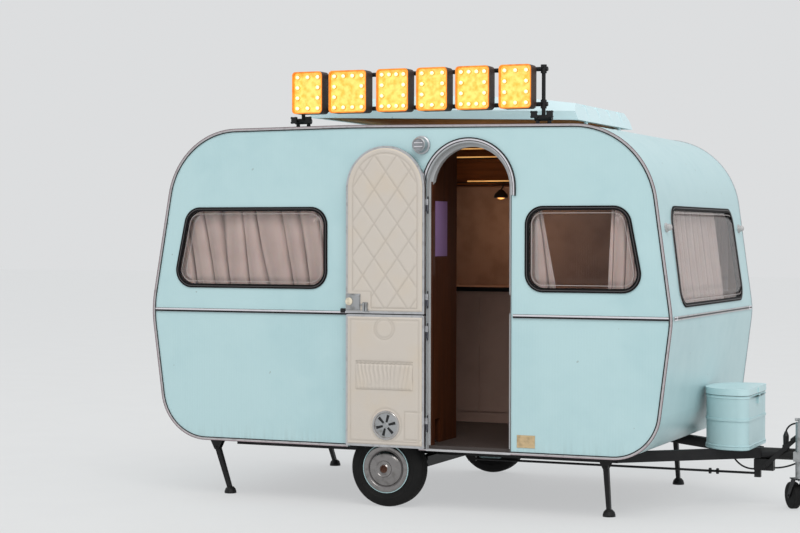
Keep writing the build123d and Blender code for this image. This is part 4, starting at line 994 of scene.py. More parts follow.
def lining_piece(node, name, relief, arched):
    """A padded lining that replaces a flat CAD one, on its leaf. Its outermost strip has yellowed, and its
    grooves carry painted shade.
    """
    low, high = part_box(node)
    backing = high.y
    columns = int((high.x - low.x) / GRID_STEP)
    rows = int((high.z - low.z) / GRID_STEP)
    middle = (low + high) / 2
    upright = Matrix.Translation((middle.x, backing, middle.z)) @ Matrix.Rotation(math.pi / 2, 4, "X")
    stretch = Matrix.Diagonal(((high.x - low.x) / 2, (high.z - low.z) / 2, 1.0, 1.0))
    mesh = bmesh.new()
    bmesh.ops.create_grid(mesh, x_segments=columns, y_segments=rows, size=1.0, matrix=upright @ stretch)
    mark = mesh.verts.layers.float.new("groove")
    for vert in mesh.verts:
        x, z = vert.co.x, vert.co.z
        if arched:
            x, z = clamp_to_arch(x, z, low, high)
        height, cut = relief(x, z, low, high)
        vert.co = (x, backing - PAD_FOOT - height, z)
        # Painted shade: the groove mark darkens the vinyl where shade falls in the grooves.
        vert[mark] = cut * PAINTED_GROOVE_SHADE
    bmesh.ops.dissolve_degenerate(mesh, dist=1e-5, edges=mesh.edges[:])
    rim = [edge for edge in mesh.edges if edge.is_boundary]
    for vert in verts_of(bmesh.ops.extrude_edge_only(mesh, edges=rim)):
        vert.co.y = backing
    for face in mesh.faces:
        spot = face.calc_center_median()
        inside = arch_depth(spot.x, spot.z, low, high) if arched else min(spot.x - low.x, high.x - spot.x)
        face.material_index = 1 if inside < BINDING else 0
    body = nodes[node]["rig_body"]
    made = place_piece(mesh, name, [door_vinyl, edge_vinyl], body)
    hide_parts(node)


lining_piece("door_upper_lining", "upper_lining", upper_relief, True)

# %% [markdown]
# The lower leaf has no diamonds. It carries a raised round boss, left bare, an upright embossed panel,
# a round vent and a gathered pocket. The same grid is used, with a formula of its own. Pieces laid on
# it would show sharp edges, which one pressed sheet does not have.

# %% Lower lining
BOSS_AT = (-0.545, 1.028)
BOSS_RADIUS = 0.062
PANEL_LOW = (-0.4186, 0.400)
PANEL_HIGH = (-0.3110, 0.560)
LOWER_BORDER = 0.018
VENT_AT = (-0.5315, 0.480)
VENT_RADIUS = 0.083


def lower_relief(x, z, low, high):
    """Height of the lower lining above its backing, and how deep in a groove it is."""
    edge = min(x - low.x, high.x - x, z - low.z, high.z - z)
    rise = PAD_RISE * min(1.0, max(edge, 0.0) / PAD_EDGE)
    cut = groove(edge - LOWER_BORDER)
    boss = math.hypot(x - BOSS_AT[0], z - BOSS_AT[1]) - BOSS_RADIUS
    cut = max(cut, groove(boss), groove(boss + 0.012) * 0.8)
    across = max(PANEL_LOW[0] - x, x - PANEL_HIGH[0])
    upright = max(PANEL_LOW[1] - z, z - PANEL_HIGH[1])
    panel = max(across, upright)
    cut = max(cut, groove(panel))
    vent = math.hypot(x - VENT_AT[0], z - VENT_AT[1]) - VENT_RADIUS - 0.012
    cut = max(cut, groove(vent) * 0.8)
    return rise - cut * PAD_RISE * 0.65, cut


lining_piece("door_lower_lining", "lower_lining", lower_relief, False)

# %% [markdown]
# The pocket is a gathered pouch of the same vinyl, sewn down on three sides, with elastic in its hem. The
# elastic puckers the top, and the gathers fan out and fade towards the foot. A grid takes that shape
# from a formula and is then given the thickness of the vinyl. A simulated pouch would take much longer
# to get right.

# %% Pocket
POCKET_X = (-0.7215, -0.3665)
POCKET_Z = (0.681, 0.845)
HEM = 0.016
lining_low, lining_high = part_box("door_lower_lining")
POCKET_BACK = lining_high.y - PAD_FOOT - PAD_RISE
POCKET_FRONT = lining_low.y + 0.0005
mesh = bmesh.new()
bmesh.ops.create_grid(mesh, x_segments=110, y_segments=44, size=0.5)
mark = mesh.verts.layers.float.new("groove")
for vert in mesh.verts:
    across, up = vert.co.x + 0.5, vert.co.y + 0.5
    x = POCKET_X[0] + (POCKET_X[1] - POCKET_X[0]) * across
    z = POCKET_Z[0] + (POCKET_Z[1] - POCKET_Z[0]) * up
    sewn = min(1.0, min(across, 1.0 - across) / 0.06, up / 0.10)
    below_hem = POCKET_Z[1] - HEM - z
    fan = across * 13 + (across - 0.5) * 2.2 * (1.0 - up) + noise.noise((across * 5, up * 2, 1.0)) * 0.5
    gathers = math.cos(2 * math.pi * fan) * (0.0026 if below_hem > 0 else 0.0012) * (0.35 + 0.65 * up)
    full = math.sin(math.pi * min(1.0, 0.25 + 0.75 * up)) * 0.35 + 0.55
    pinch = 0.5 * groove(below_hem, 0.006)
    share = max(0.0, min(1.0, sewn)) ** 0.5 * max(0.15, full - pinch)
    y = POCKET_BACK + (POCKET_FRONT + 0.004 - POCKET_BACK) * share + gathers * sewn
    vert.co = (x, max(y, POCKET_FRONT), z)
    # Painted shade: darker in the troughs of the gathers, along the hem's lower edge and at the mouth.
    fold_trough_shade = max(0.0, -math.cos(2 * math.pi * fan)) * up
    vert[mark] = max(groove(below_hem, 0.003), 0.55 * fold_trough_shade, groove(1.0 - up, 0.03)) * 0.8
bmesh.ops.solidify(mesh, geom=mesh.faces[:], thickness=0.0012)
pocket = place_piece(mesh, "door_pocket", door_vinyl, "door_lower")

# %% [markdown]
# ## Round vent
# A pressed disc with a chrome rim and radial slots, set low in the lower leaf. The rim is a lathe
# profile. The slots are dark bars laid in the face, six of them, because at this size a cut and
# a dark inlay look the same.

# %% Round vent
LINING_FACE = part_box("door_upper_lining")[0].y
VENT_FACE = LINING_FACE - 0.0005
SLOTS = 6
SLOT_REACH = (0.018, 0.061)
SLOT_HALF_WIDTH = 0.0062
vent_centre = (VENT_AT[0], VENT_FACE, VENT_AT[1])
mesh = bmesh.new()
rim_profile = [
    (VENT_RADIUS - 0.012, 0.001), (VENT_RADIUS - 0.010, 0.0055), (VENT_RADIUS - 0.005, 0.0075),
    (VENT_RADIUS, 0.005), (VENT_RADIUS + 0.001, -0.002), (VENT_RADIUS - 0.012, -0.002),
    (VENT_RADIUS - 0.012, 0.001),
]
add_lathe(mesh, rim_profile, vent_centre, (0, -1, 0))
vent_rim = place_piece(mesh, "vent_rim", chrome, "door_lower")
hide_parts("door_vent")
mesh = bmesh.new()
face_profile = [
    (0.0, 0.0075), (0.012, 0.007), (0.014, 0.0045), (VENT_RADIUS - 0.018, 0.003),
    (VENT_RADIUS - 0.0125, 0.001), (VENT_RADIUS - 0.0125, -0.0015), (0.0, -0.0015),
]
add_lathe(mesh, face_profile, vent_centre, (0, -1, 0))
place_piece(mesh, "vent_face", zinc, "door_lower")
mesh = bmesh.new()
for number in range(SLOTS):
    angle = 2 * math.pi * (number + 0.25) / SLOTS
    ray = Vector((math.cos(angle), 0.0, math.sin(angle)))
    across = Vector((-ray.z, 0.0, ray.x)) * SLOT_HALF_WIDTH
    start = Vector(vent_centre) + ray * SLOT_REACH[0] - Vector((0, 0.0046, 0))
    end = Vector(vent_centre) + ray * SLOT_REACH[1] - Vector((0, 0.0046, 0))
    wide = across * 1.35
    add_plate(mesh, [start - across, end - wide, end + wide, start + across], (0, 0.003, 0))
place_piece(mesh, "vent_slots", dark_plastic, "door_lower")
print("vent at", [round(v, 3) for v in vent_centre])

# %% [markdown]
# ## Latch and catch
# On the free edge of the upper leaf sits a steel latch box with a cream knob, and beside it a short
# grey catch that couples the two leaves. They are small but stand out in the photograph. Bevelled
# blocks, a rod and a lathed knob are enough for them, and booleans would add nothing that shows.

# %% Latch
LATCH_X = (-0.779, -0.6955)
LATCH_Z = (1.134, 1.222)
CATCH_X = (-0.676, -0.645)
CATCH_Z = (1.128, 1.178)
PIN_Z = 1.165
KNOB_AT = (-0.7583, LINING_FACE - 0.0118, 1.1815)
KNOB_SECTION = [
    (0.0, -0.0005), (0.012, -0.0005), (0.0115, 0.0012), (0.0200, 0.0020), (0.0225, 0.0038),
    (0.0215, 0.0056), (0.0140, 0.0074), (0.0, 0.0080),
]
mesh = bmesh.new()
box_front = (LATCH_X[0], LINING_FACE - 0.012, LATCH_Z[0])
add_block(mesh, box_front, (LATCH_X[1], LINING_FACE - 0.0005, LATCH_Z[1]), 0.003)
add_block(
    mesh, (LATCH_X[0] - 0.004, LINING_FACE - 0.006, LATCH_Z[0] - 0.004),
    (LATCH_X[1] + 0.004, LINING_FACE - CLEAR, LATCH_Z[1] + 0.004), 0.001,
)
latch_box = place_piece(mesh, "latch_box", zinc, "door_upper")
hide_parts("door_latch")
mesh = bmesh.new()
add_lathe(mesh, KNOB_SECTION, KNOB_AT, (0, -1, 0), 40)
knob_cream = lens("knob_cream", (0.72, 0.64, 0.50), 0.03)
place_piece(mesh, "latch_knob", knob_cream, "door_upper")
mesh = bmesh.new()
plate_front = (CATCH_X[0], LINING_FACE - 0.008, CATCH_Z[0])
add_block(mesh, plate_front, (CATCH_X[1], LINING_FACE - CLEAR, CATCH_Z[1]), 0.002)
for offset in (0.25, 0.75):
    x = CATCH_X[0] + (CATCH_X[1] - CATCH_X[0]) * offset
    low = (x - 0.006, LINING_FACE - 0.016, CATCH_Z[0] - 0.004)
    add_block(mesh, low, (x + 0.006, LINING_FACE - 0.0075, CATCH_Z[1] - 0.004), 0.003)
pin_y = LINING_FACE - 0.006
add_rod(mesh, (CATCH_X[0] - 0.018, pin_y, PIN_Z), (CATCH_X[0], pin_y, PIN_Z), 0.004)
place_piece(mesh, "leaf_catch", zinc, "door_upper")

# %% [markdown]
# ## Cloth
# The curtains are thin cotton, a pinkish beige, and a little light comes through them. Real threads
# would be far too many to model, so a bump of two crossed waves stands for the weave, and a number
# that each curtain's mesh carries paints shade into its creases.

# %% Cloth finish
THREADS = 1400.0


def cloth(name, colour, shade):
    """Woven cotton, a little see-through: threads both ways, slow stains and painted shade in its creases.
    """
    finish = Finish(name)
    warp = (finish.axis("Z") * THREADS).sine()
    weft = ((finish.axis("X") + finish.axis("Y")) * THREADS).sine()
    slow = finish.noise(6.0, 3.0)
    tint = finish.mix(colour, shade, slow.ramp(0.35, 0.75))
    # Painted shade in the creases that each curtain's mesh marks.
    tint = finish.mix(tint, tuple(0.42 * c for c in shade), finish.drawn("groove"))
    normal = finish.bump(warp * weft * 0.5 + 0.5, 0.0002)
    return finish.surface(
        Base_Color=tint, Roughness=0.85 + slow * 0.1, Normal=normal, Sheen_Weight=0.3,
        Subsurface_Weight=0.15, Subsurface_Scale=0.02,
    )


curtain_cloth = cloth("curtain_cotton", (0.625, 0.515, 0.50), (0.555, 0.445, 0.43))
print("nodes in the cloth's finish:", len(curtain_cloth.node_tree.nodes))

# %% [markdown]
# ## Curtains
# Unlined curtains hang on wires inside the windows. A pleat is a sideways wave whose depth grows
# towards the hem, where the cloth hangs free. Cloth simulation would give much the same folds far more
# slowly, so a formula moves the vertices of a fine grid, and slow noise keeps any two pleats from
# matching. The flat width comes from the mesh: its area, divided by its height.

# %% Pleats
CURTAIN_ROWS = 26
COLUMNS_PER_PLEAT = 20
CREASE = 0.085


def fold_shade(place, crease, down, seed):
    """Painted shade at a place in a curtain: deep in its creases, on one side of each pleat, along its hem
    and under its heading.
    """
    strength = 0.62 + 0.55 * noise.noise((math.floor(place) * 3.7, down * 2.2, seed * 2.9))
    soft = 0.22 * max(0.0, -math.cos(2 * math.pi * (place - 0.40)))
    hem = 0.26 * groove(down - 0.845, 0.012) + 0.20 * groove(down - 0.90, 0.012)
    heading = 0.15 * groove(down - 0.10, 0.010)
    return max(0.0, min(1.0, strength * crease + soft + hem + heading))


def pleated(name, pleats, seed, waver, tall, hang):
    """A curtain. waver says how its pleats wander, and hang gives a vertex its place in the room."""
    along_scale, down_scale, seed_scale, amount = waver
    mesh = bmesh.new()
    columns = pleats * COLUMNS_PER_PLEAT
    bmesh.ops.create_grid(mesh, x_segments=columns, y_segments=CURTAIN_ROWS, size=0.5)
    mark = mesh.verts.layers.float.new("groove")
    for vert in mesh.verts:
        across, down = vert.co.x + 0.5, 0.5 - vert.co.y
        sample = (across * pleats * along_scale, down * down_scale, seed * seed_scale)
        place = across * pleats + noise.noise(sample) * amount
        share = place - math.floor(place)
        crease = math.exp(-(((share - 0.5) / CREASE) ** 2))
        vert.co = hang(across, down, place, crease)
        vert[mark] = fold_shade(place, crease, down, seed)
    area = sum(face.calc_area() for face in mesh.faces)
    made = place_piece(mesh, name, curtain_cloth, recalc=False)
    print(name, "flat", round(area / tall, 3), "by", round(tall, 3))


# %% [markdown]
# The side curtains were pulled to one side and caught there, so their pleats lean: each swings along
# its wire towards the hem. Shearing a finished curtain would lean all its pleats alike, so the swing is
# a small function of the place along the wire.

# %% Side curtains
SIDE_CURTAIN_Y = 0.905
CURTAIN_TOP = 1.752
CURTAIN_FOOT = 1.215
SIDE_WAVER = (0.8, 0.7, 7.3, 0.42)


def side_curtain(name, y, start_x, end_x, pleats, depth, seed, swing):
    """A curtain from start_x to end_x. swing says how far along the wire its hem has moved."""
    start, end = Vector((start_x, y, 0.0)), Vector((end_x, y, 0.0))
    along = (end - start).normalized()
    inward = Vector((-along.y, along.x, 0.0))
    width = (end - start).length

    def hang(across, down, place, crease):
        phase = place * 2 * math.pi
        fold = 0.35 * math.cos(phase) - 1.5 * crease + 0.12 * math.sin(3 * phase + seed)
        gather = 0.45 + 0.55 * down ** 0.7
        shift = swing(across) * down + 0.006 * math.sin(phase) * gather
        spot = start + along * (across * width + shift) - inward * (fold * depth * gather)
        return spot.x, spot.y, CURTAIN_TOP + (CURTAIN_FOOT - CURTAIN_TOP) * down

    pleated(name, pleats, seed, SIDE_WAVER, CURTAIN_TOP - CURTAIN_FOOT, hang)


def spread(across):
    """The narrow front curtain fans out towards the front."""
    return 0.105 * across


def tucked(across):
    """The wide front curtain's rear edge is drawn back a little."""
    return 0.02 * (across - 1)


side_curtain("curtain_rear_right", -SIDE_CURTAIN_Y, -1.975, -0.955, 8, 0.017, 3, lambda across: 0.085)
side_curtain("curtain_rear_left", SIDE_CURTAIN_Y, -0.925, -1.955, 8, 0.011, 5, lambda across: 0.02)
for side, word in ((-1, "right"), (1, "left")):
    y, depth = side * SIDE_CURTAIN_Y, 0.012 * -side
    side_curtain(f"curtain_front_a_{word}", y, 0.265, 0.355, 2, depth, 7 + side, spread)
    side_curtain(f"curtain_front_b_{word}", y, 0.765, 0.975, 4, depth, 9 + side, tucked)

# %% [markdown]
# The end windows lean, and so do their curtains. The front one leaves the left end of its window open,
# and the rear one covers its window. A turned curtain would leave its heights, so only X changes from
# top to hem. The height that is stated for them ends at END_FOOT, although the cloth hangs 20 mm below.

# %% End curtains
END_TOP = CURTAIN_TOP - 0.02
END_FOOT = 1.19
END_FOLD = 0.011
END_PLEATS = 10
END_WAVER = (0.7, 0.8, 5.1, 0.5)


def end_curtain(name, low_x, high_x, start, end, seed):
    """A curtain that leans with an end window, from low_x at its foot to high_x at its top."""

    def hang(across, down, place, crease):
        fold = 0.3 * math.cos(place * 2 * math.pi) - crease
        gather = 0.5 + 0.5 * down
        x = high_x + (low_x - high_x) * down
        x += math.copysign(END_FOLD, high_x) * fold * gather
        return x, start + (end - start) * across, END_TOP + (END_FOOT - CURTAIN_TOP) * down

    pleated(name, END_PLEATS, seed, END_WAVER, END_TOP - END_FOOT, hang)


end_curtain("curtain_front", 1.050, 0.980, -0.72, 0.50, 4)
end_curtain("curtain_rear", -2.010, -1.950, -0.70, 0.70, 6)

# %% [markdown]
# ## Beads on the gas locker
# The locker is pressed steel with rolled beads. Its wall is cut level with bisect, and only the outer
# loop of the cut is kept. Four copies of that loop, each at its own height and distance from the wall,
# are bridged to roll the bead, which so follows the locker's rounded corners by itself.

# %% Locker beads
LOCKER_CENTRE = Vector((1.22, 0.0, 0.5))
BEAD_HEIGHTS = (0.640, 0.365)
SEAM_HEIGHT = 0.6525


def bead(mesh, node, z, tall, proud):
    """A rolled bead round a node at height z, added to mesh."""
    part = copy_of(node)
    everything = part.verts[:] + part.edges[:] + part.faces[:]
    sliced = bmesh.ops.bisect_plane(part, geom=everything, plane_co=(0, 0, z), plane_no=(0, 0, 1))
    outer = []
    for item in sliced["geom_cut"]:
        if isinstance(item, bmesh.types.BMEdge) and item.link_faces:
            away = (item.verts[0].co + item.verts[1].co) / 2 - LOCKER_CENTRE
            if item.link_faces[0].normal.dot(away) > 0.02:
                outer.append(item)
    lifted = {}
    for edge in outer:
        for vert in edge.verts:
            lifted.setdefault(vert, Vector())
            lifted[vert] += edge.link_faces[0].normal
    rows = []
    for height, out in ((-tall, -0.001), (-tall * 0.5, proud), (tall * 0.5, proud), (tall, -0.001)):
        row = {}
        for vert, way in lifted.items():
            flat = Vector((way.x, way.y, 0.0)).normalized()
            row[vert] = mesh.verts.new(vert.co + flat * out + Vector((0, 0, height)))
        rows.append([mesh.edges.new((row[edge.verts[0]], row[edge.verts[1]])) for edge in outer])
    for lower, upper in zip(rows, rows[1:]):
        bmesh.ops.bridge_loops(mesh, edges=lower + upper)
    part.free()


mesh = bmesh.new()
for z in BEAD_HEIGHTS:
    bead(mesh, "gas_locker", z, 0.006, 0.0035)
place_piece(mesh, "locker_beads", enamel)
mesh = bmesh.new()
bead(mesh, "gas_locker", SEAM_HEIGHT, 0.0018, 0.0004)
place_piece(mesh, "locker_seam", strip_black)

# %% [markdown]
# ## Inside the doorway
# The open door shows warm strip lamps at the overhead lockers, and the dark edges of the lockers and
# of the counter. They are simple bevelled blocks, but they give the opening its depth and its warm
# colour.

# %% Cabin details
LOCKER_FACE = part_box("overhead_lockers")[0].y
STRIP_LAMPS = [(2.114, -0.90, -0.35), (2.060, -0.90, -0.30), (1.905, -0.64, -0.25)]
EDGE_HEIGHTS = (2.052, 1.897, 1.878)

mesh = bmesh.new()
for z, left, right in STRIP_LAMPS:
    add_block(mesh, (left, LOCKER_FACE - 0.004, z), (right, LOCKER_FACE - CLEAR, z + 0.008), 0.001)
place_piece(mesh, "strip_lamps", strip_glow)
mesh = bmesh.new()
for z in EDGE_HEIGHTS:
    add_block(mesh, (-1.40, LOCKER_FACE - 0.003, z), (0.32, LOCKER_FACE - CLEAR, z + 0.006), 0.001)
counter_low, counter_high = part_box("kitchen_unit")
add_block(
    mesh, (counter_low.x + 0.001, counter_low.y - 0.003, counter_high.z - 0.026),
    (counter_high.x - 0.001, counter_low.y - CLEAR, counter_high.z + 0.002), 0.001,
)
place_piece(mesh, "dark_edges", dark_plastic)

# %% [markdown]
# A small lamp with a dark shade stands out over the counter on a bent arm. Shade and bulb are round,
# so each is a lathe of its section. The shade's section runs down outside and back up inside. A blank
# card, a very thin block, is pinned to the wardrobe's side.

# %% Cabin lamp
LAMP_AT = (-0.392, 0.500, 1.800)
SHADE_SECTION = [
    (0.0, 0.052), (0.014, 0.052), (0.018, 0.046), (0.040, 0.026), (0.047, 0.006), (0.046, 0.0),
    (0.043, 0.004), (0.034, 0.022), (0.0, 0.034),
]
BULB_SECTION = [(0.0, 0.030), (0.018, 0.026), (0.030, 0.012), (0.022, -0.004), (0.0, -0.010)]
ARM = [(LAMP_AT[0], LAMP_AT[1], 1.850), (LAMP_AT[0], 0.535, 1.872), (LAMP_AT[0], 0.552, 1.885)]
CARD_LOW = (-0.3093, -0.850, 1.440)
CARD_HIGH = (-0.3080, -0.633, 1.756)

mesh = bmesh.new()
add_lathe(mesh, SHADE_SECTION, LAMP_AT, (0, 0, 1), 40)
for start, end in zip(ARM, ARM[1:]):
    add_rod(mesh, start, end, 0.006)
place_piece(mesh, "lamp_shade", dark_plastic)
mesh = bmesh.new()
add_lathe(mesh, BULB_SECTION, LAMP_AT, (0, 0, 1), 32)
place_piece(mesh, "lamp_bulb", strip_glow)
notice = leathercloth("lilac_card", (0.30, 0.17, 0.36), (0.26, 0.15, 0.32), 0.7)
mesh = bmesh.new()
add_block(mesh, CARD_LOW, CARD_HIGH, 0.0003)
place_piece(mesh, "blank_card", notice)

# %% [markdown]
# ## Seat cushions
# Each bench carries three foam pads. A cube is cut finely, its top and sides swell towards the middle,
# and the same formula marks a darker seam near its upper and lower edges. Subdivision rounds the rest.
# Cloth simulation would swell them too, but slowly, and they are only seen through the windows. The
# seat boxes under them keep the CAD shape, copied without the plain cushion solids.

# %% Seat cushions
CUSHION_FOOT = 0.6006
CUSHION_TOP = 0.692
CUSHION_SWELL = 0.016
BENCHES = {"rear": (-1.975, -1.276), "front": (0.433, 1.020)}
FIRST_PAD_Y = -0.922
PAD_PITCH = 0.6155
PAD_WIDTH = 0.611
seat_fabric = leathercloth(
    "seat_fabric", (0.25, 0.17, 0.12), (0.20, 0.13, 0.09), 0.8, seam_and_groove_shade=(0.12, 0.08, 0.06)
)
mesh = copy_of("benches")
pads = [face for face in mesh.faces if face.calc_center_median().z > CUSHION_FOOT - 0.0004]
bmesh.ops.delete(mesh, geom=pads, context="FACES")
boxes = place_piece(mesh, "bench_boxes", locker_wood, recalc=False)
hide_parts("benches")


def seat_pad(name, low, high):
    """One foam pad between two corners."""
    low, high = Vector(low), Vector(high)
    middle, half = (low + high) / 2, (high - low) / 2
    mesh = bmesh.new()
    bmesh.ops.create_cube(mesh, size=2.0)
    bmesh.ops.subdivide_edges(mesh, edges=mesh.edges[:], cuts=15, use_grid_fill=True)
    mark = mesh.verts.layers.float.new("groove")
    for vert in mesh.verts:
        u, v, w = vert.co
        top = (1 - u * u) * (1 - v * v)
        side = 1.0 - 0.035 * (1 - w * w) - 0.014 * (1 - min(abs(u), abs(v)) ** 2)
        round_off = 1.0 - 0.05 * max(0.0, abs(w) - 0.8) * 5
        z = w * half.z * 0.86 + (CUSHION_SWELL * top if w > 0.99 else 0.0)
        vert[mark] = 1.0 if abs(abs(w) - 0.86) < 0.04 and max(abs(u), abs(v)) > 0.99 else 0.0
        vert.co = middle + Vector((u * half.x * side * round_off, v * half.y * side * round_off, z))
    lowest = min(vert.co.z for vert in mesh.verts)
    bmesh.ops.translate(mesh, verts=mesh.verts[:], vec=(0, 0, low.z - lowest))
    pad = place_piece(mesh, name, seat_fabric)
    smooth = pad.modifiers.new("soft", "SUBSURF")
    smooth.levels = smooth.render_levels = 1


for end, (back, front) in BENCHES.items():
    for number in range(3):
        side = FIRST_PAD_Y + number * PAD_PITCH
        low = (back, side, CUSHION_FOOT)
        seat_pad(f"seat_pad_{end}_{number}", low, (front, side + PAD_WIDTH, CUSHION_TOP))

# %% [markdown]
# ## Wheels
# A tyre is a lathe of its section: bead, ringed sidewall, shoulder and four grooves in the tread. The
# cap is pressed chrome: an outer dish, a groove of darker chrome, a dome, and a rusty hole where its
# bolt was. Both are round all over, so one turned section gives every ring at once.

# %% Wheels
# Points are radius and distance outwards, the tyre's from its middle plane and the cap's from its seat.
TYRE_SECTION = [
    (0.1283, 0.047), (0.1400, 0.0530), (0.1490, 0.0562), (0.1500, 0.0578), (0.1530, 0.0582),
    (0.1540, 0.0570), (0.1690, 0.0592), (0.1700, 0.0606), (0.1730, 0.0608), (0.1740, 0.0596),
    (0.1930, 0.0572), (0.2060, 0.0515), (0.2150, 0.0455), (0.2195, 0.0400), (0.2208, 0.0330),
    (0.2140, 0.0315), (0.2140, 0.0275), (0.2214, 0.0260), (0.2218, 0.0140), (0.2150, 0.0125),
    (0.2150, 0.0085), (0.2220, 0.0070),
]
CAP_SECTION = [
    (0.0, 0.0), (0.1340, 0.0), (0.1372, 0.0015), (0.1370, 0.0045), (0.1335, 0.0088),
    (0.1260, 0.0118), (0.1180, 0.0112), (0.1110, 0.0078), (0.1075, 0.0050), (0.1020, 0.0045),
    (0.0995, 0.0075), (0.0930, 0.0135), (0.0820, 0.0188), (0.0690, 0.0232), (0.0560, 0.0262),
    (0.0480, 0.0272), (0.0455, 0.0240), (0.0420, 0.0222), (0.0330, 0.0228), (0.0260, 0.0250),
    (0.0225, 0.0300), (0.0190, 0.0312), (0.0165, 0.0300), (0.0150, 0.0215), (0.0, 0.0205),
]
DARKER_CHROME_RING = (0.0985, 0.1090)
RUSTY_RADIUS = 0.0215


def cap_finish(radius):
    """0 for bright chrome, 1 for the darker chrome in the groove and 2 for the rusty hole."""
    if radius < RUSTY_RADIUS:
        return 2
    return 1 if DARKER_CHROME_RING[0] < radius < DARKER_CHROME_RING[1] else 0


for word in ("right", "left"):
    tyre_low, tyre_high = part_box(f"tyre_{word}")
    middle = (tyre_low + tyre_high) / 2
    outward = math.copysign(1.0, middle.y)
    far_side = [(radius, -along) for radius, along in reversed(TYRE_SECTION)]
    mesh = bmesh.new()
    add_lathe(mesh, TYRE_SECTION + far_side + TYRE_SECTION[:1], middle, (0, outward, 0), 96)
    made = place_piece(mesh, f"ringed_tyre_{word}", tyre_rubber, f"wheel_{word}")
    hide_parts(f"tyre_{word}")
    cap_low, cap_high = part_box(f"hub_cap_{word}")
    seat = Vector((middle.x, cap_high.y if outward < 0 else cap_low.y, middle.z))
    mesh = bmesh.new()
    add_lathe(mesh, CAP_SECTION, seat, (0, outward, 0), 96)
    for face in mesh.faces:
        spot = face.calc_center_median() - seat
        face.material_index = cap_finish(math.hypot(spot.x, spot.z))
    finishes = [cap_chrome, darker_chrome, rust]
    made = place_piece(mesh, f"pressed_cap_{word}", finishes, f"wheel_{word}")
    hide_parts(f"hub_cap_{word}")

# %% [markdown]
# ## Awning lamp
# The round lamp over the leaf has a pale bezel, a darker ribbed disc and two bars. Its CAD node keeps its
# shape, and each face takes a finish by its distance from the lamp's middle. New discs would do as
# well, but the faces already lie where the colours change.

# %% Awning lamp
lamp = nodes["awning_lamp"]
lamp_low, lamp_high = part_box("awning_lamp")
lamp_middle = (lamp_low + lamp_high) / 2
DISC_RADIUS = 0.031
DISC_DEPTH = 0.008
BAR_HALF = 0.026
BAR_RADIUS = 0.029
BAR_DEPTH = 0.0015
bezel = metal("lamp_bezel", (0.50, 0.51, 0.53), (0.40, 0.41, 0.43), 0.4)
lamp.data.materials.clear()
for finish in (bezel, grey_lens, bright_trim):
    lamp.data.materials.append(finish)
for polygon in lamp.data.polygons:
    spot = polygon.center
    aside, deep = spot.x - lamp_middle.x, spot.y - lamp_low.y
    radius = math.hypot(aside, spot.z - lamp_middle.z)
    if deep < BAR_DEPTH and abs(aside) < BAR_HALF and radius < BAR_RADIUS:
        polygon.material_index = 2
    elif radius < DISC_RADIUS and deep < DISC_DEPTH:
        polygon.material_index = 1
print("lamp at", [round(value, 3) for value in lamp_middle])

# %% [markdown]
# ## Clamps on the sign's feet
# Each foot of the rack is clamped by two hand screws, and each fitting on the posts has a set screw. A
# hand screw is a short threaded rod with a lobed knob, made as a lathe and a few rounded lobes. The
# thread is too fine to show at this distance, so the rod is plain.

# %% Rack clamps
RACK_POSTS = (-1.1315, 0.3535)
FOOT_HEIGHT = 2.2325
FITTING_HEIGHTS = (2.303, 2.498)
SCREW_SECTION = [
    (0.0, 0.0), (0.007, 0.0), (0.007, 0.020), (0.018, 0.022), (0.020, 0.028), (0.017, 0.034), (0.0, 0.035),
]
mesh = bmesh.new()
for post in RACK_POSTS:
    for side in (-1, 1):
        hub = (post + side * 0.046, -0.853, FOOT_HEIGHT)
        add_lathe(mesh, SCREW_SECTION, hub, (0, -1, 0), 20)
        for lobe in range(4):
            angle = math.pi * (lobe / 2 + 0.25)
            spot = Vector(hub) + Vector((0.019 * math.cos(angle), -0.028, 0.019 * math.sin(angle)))
            add_rod(mesh, spot + Vector((0, 0.006, 0)), spot - Vector((0, 0.006, 0)), 0.007, segments=12)
    for z in FITTING_HEIGHTS:
        add_rod(mesh, (post, -0.855, z), (post, -0.876, z), 0.006, segments=6)
place_piece(mesh, "rack_clamps", dark_plastic)

# %% [markdown]
# ## Roof sign
# Six light boxes stand on a pipe rack. Each is a folded brown tray with a lit orange face set back
# behind its rim and warm bulbs around the edge. A quad with rounded corners is pushed back for the
# tray, then inset and pushed in for the rim. Five boards to a box would need their corners closed.

# %% Light boxes
BOX_SPANS = [
    (-1.1545, -0.9615), (-0.9195, -0.6825), (-0.6195, -0.4215),
    (-0.3725, -0.1835), (-0.1345, 0.0685), (0.1245, 0.3155),
]
BOX_CORNER = 0.022
BOX_RIM = 0.007
FACE_RECESS = 0.020
box_low, box_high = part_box("sign_boxes")
tray_brown = coated("tray_brown", (0.060, 0.034, 0.026), (0.09, 0.06, 0.05), 0.55, 0.4)
# Painted light: the rims and the bulb sockets glow orange with the light of the bulbs.
orange_rim_painted_glow = lit("orange_rim_painted_glow", (0.80, 0.26, 0.02), (0.62, 0.15, 0.01), 0.35, 30.0)


def is_front(face, left, right):
    """Whether a face is the front of the box between left and right."""
    spot = face.calc_center_median()
    return abs(face.normal.y) > 0.9 and spot.y < box_low.y + 1e-4 and left < spot.x < right


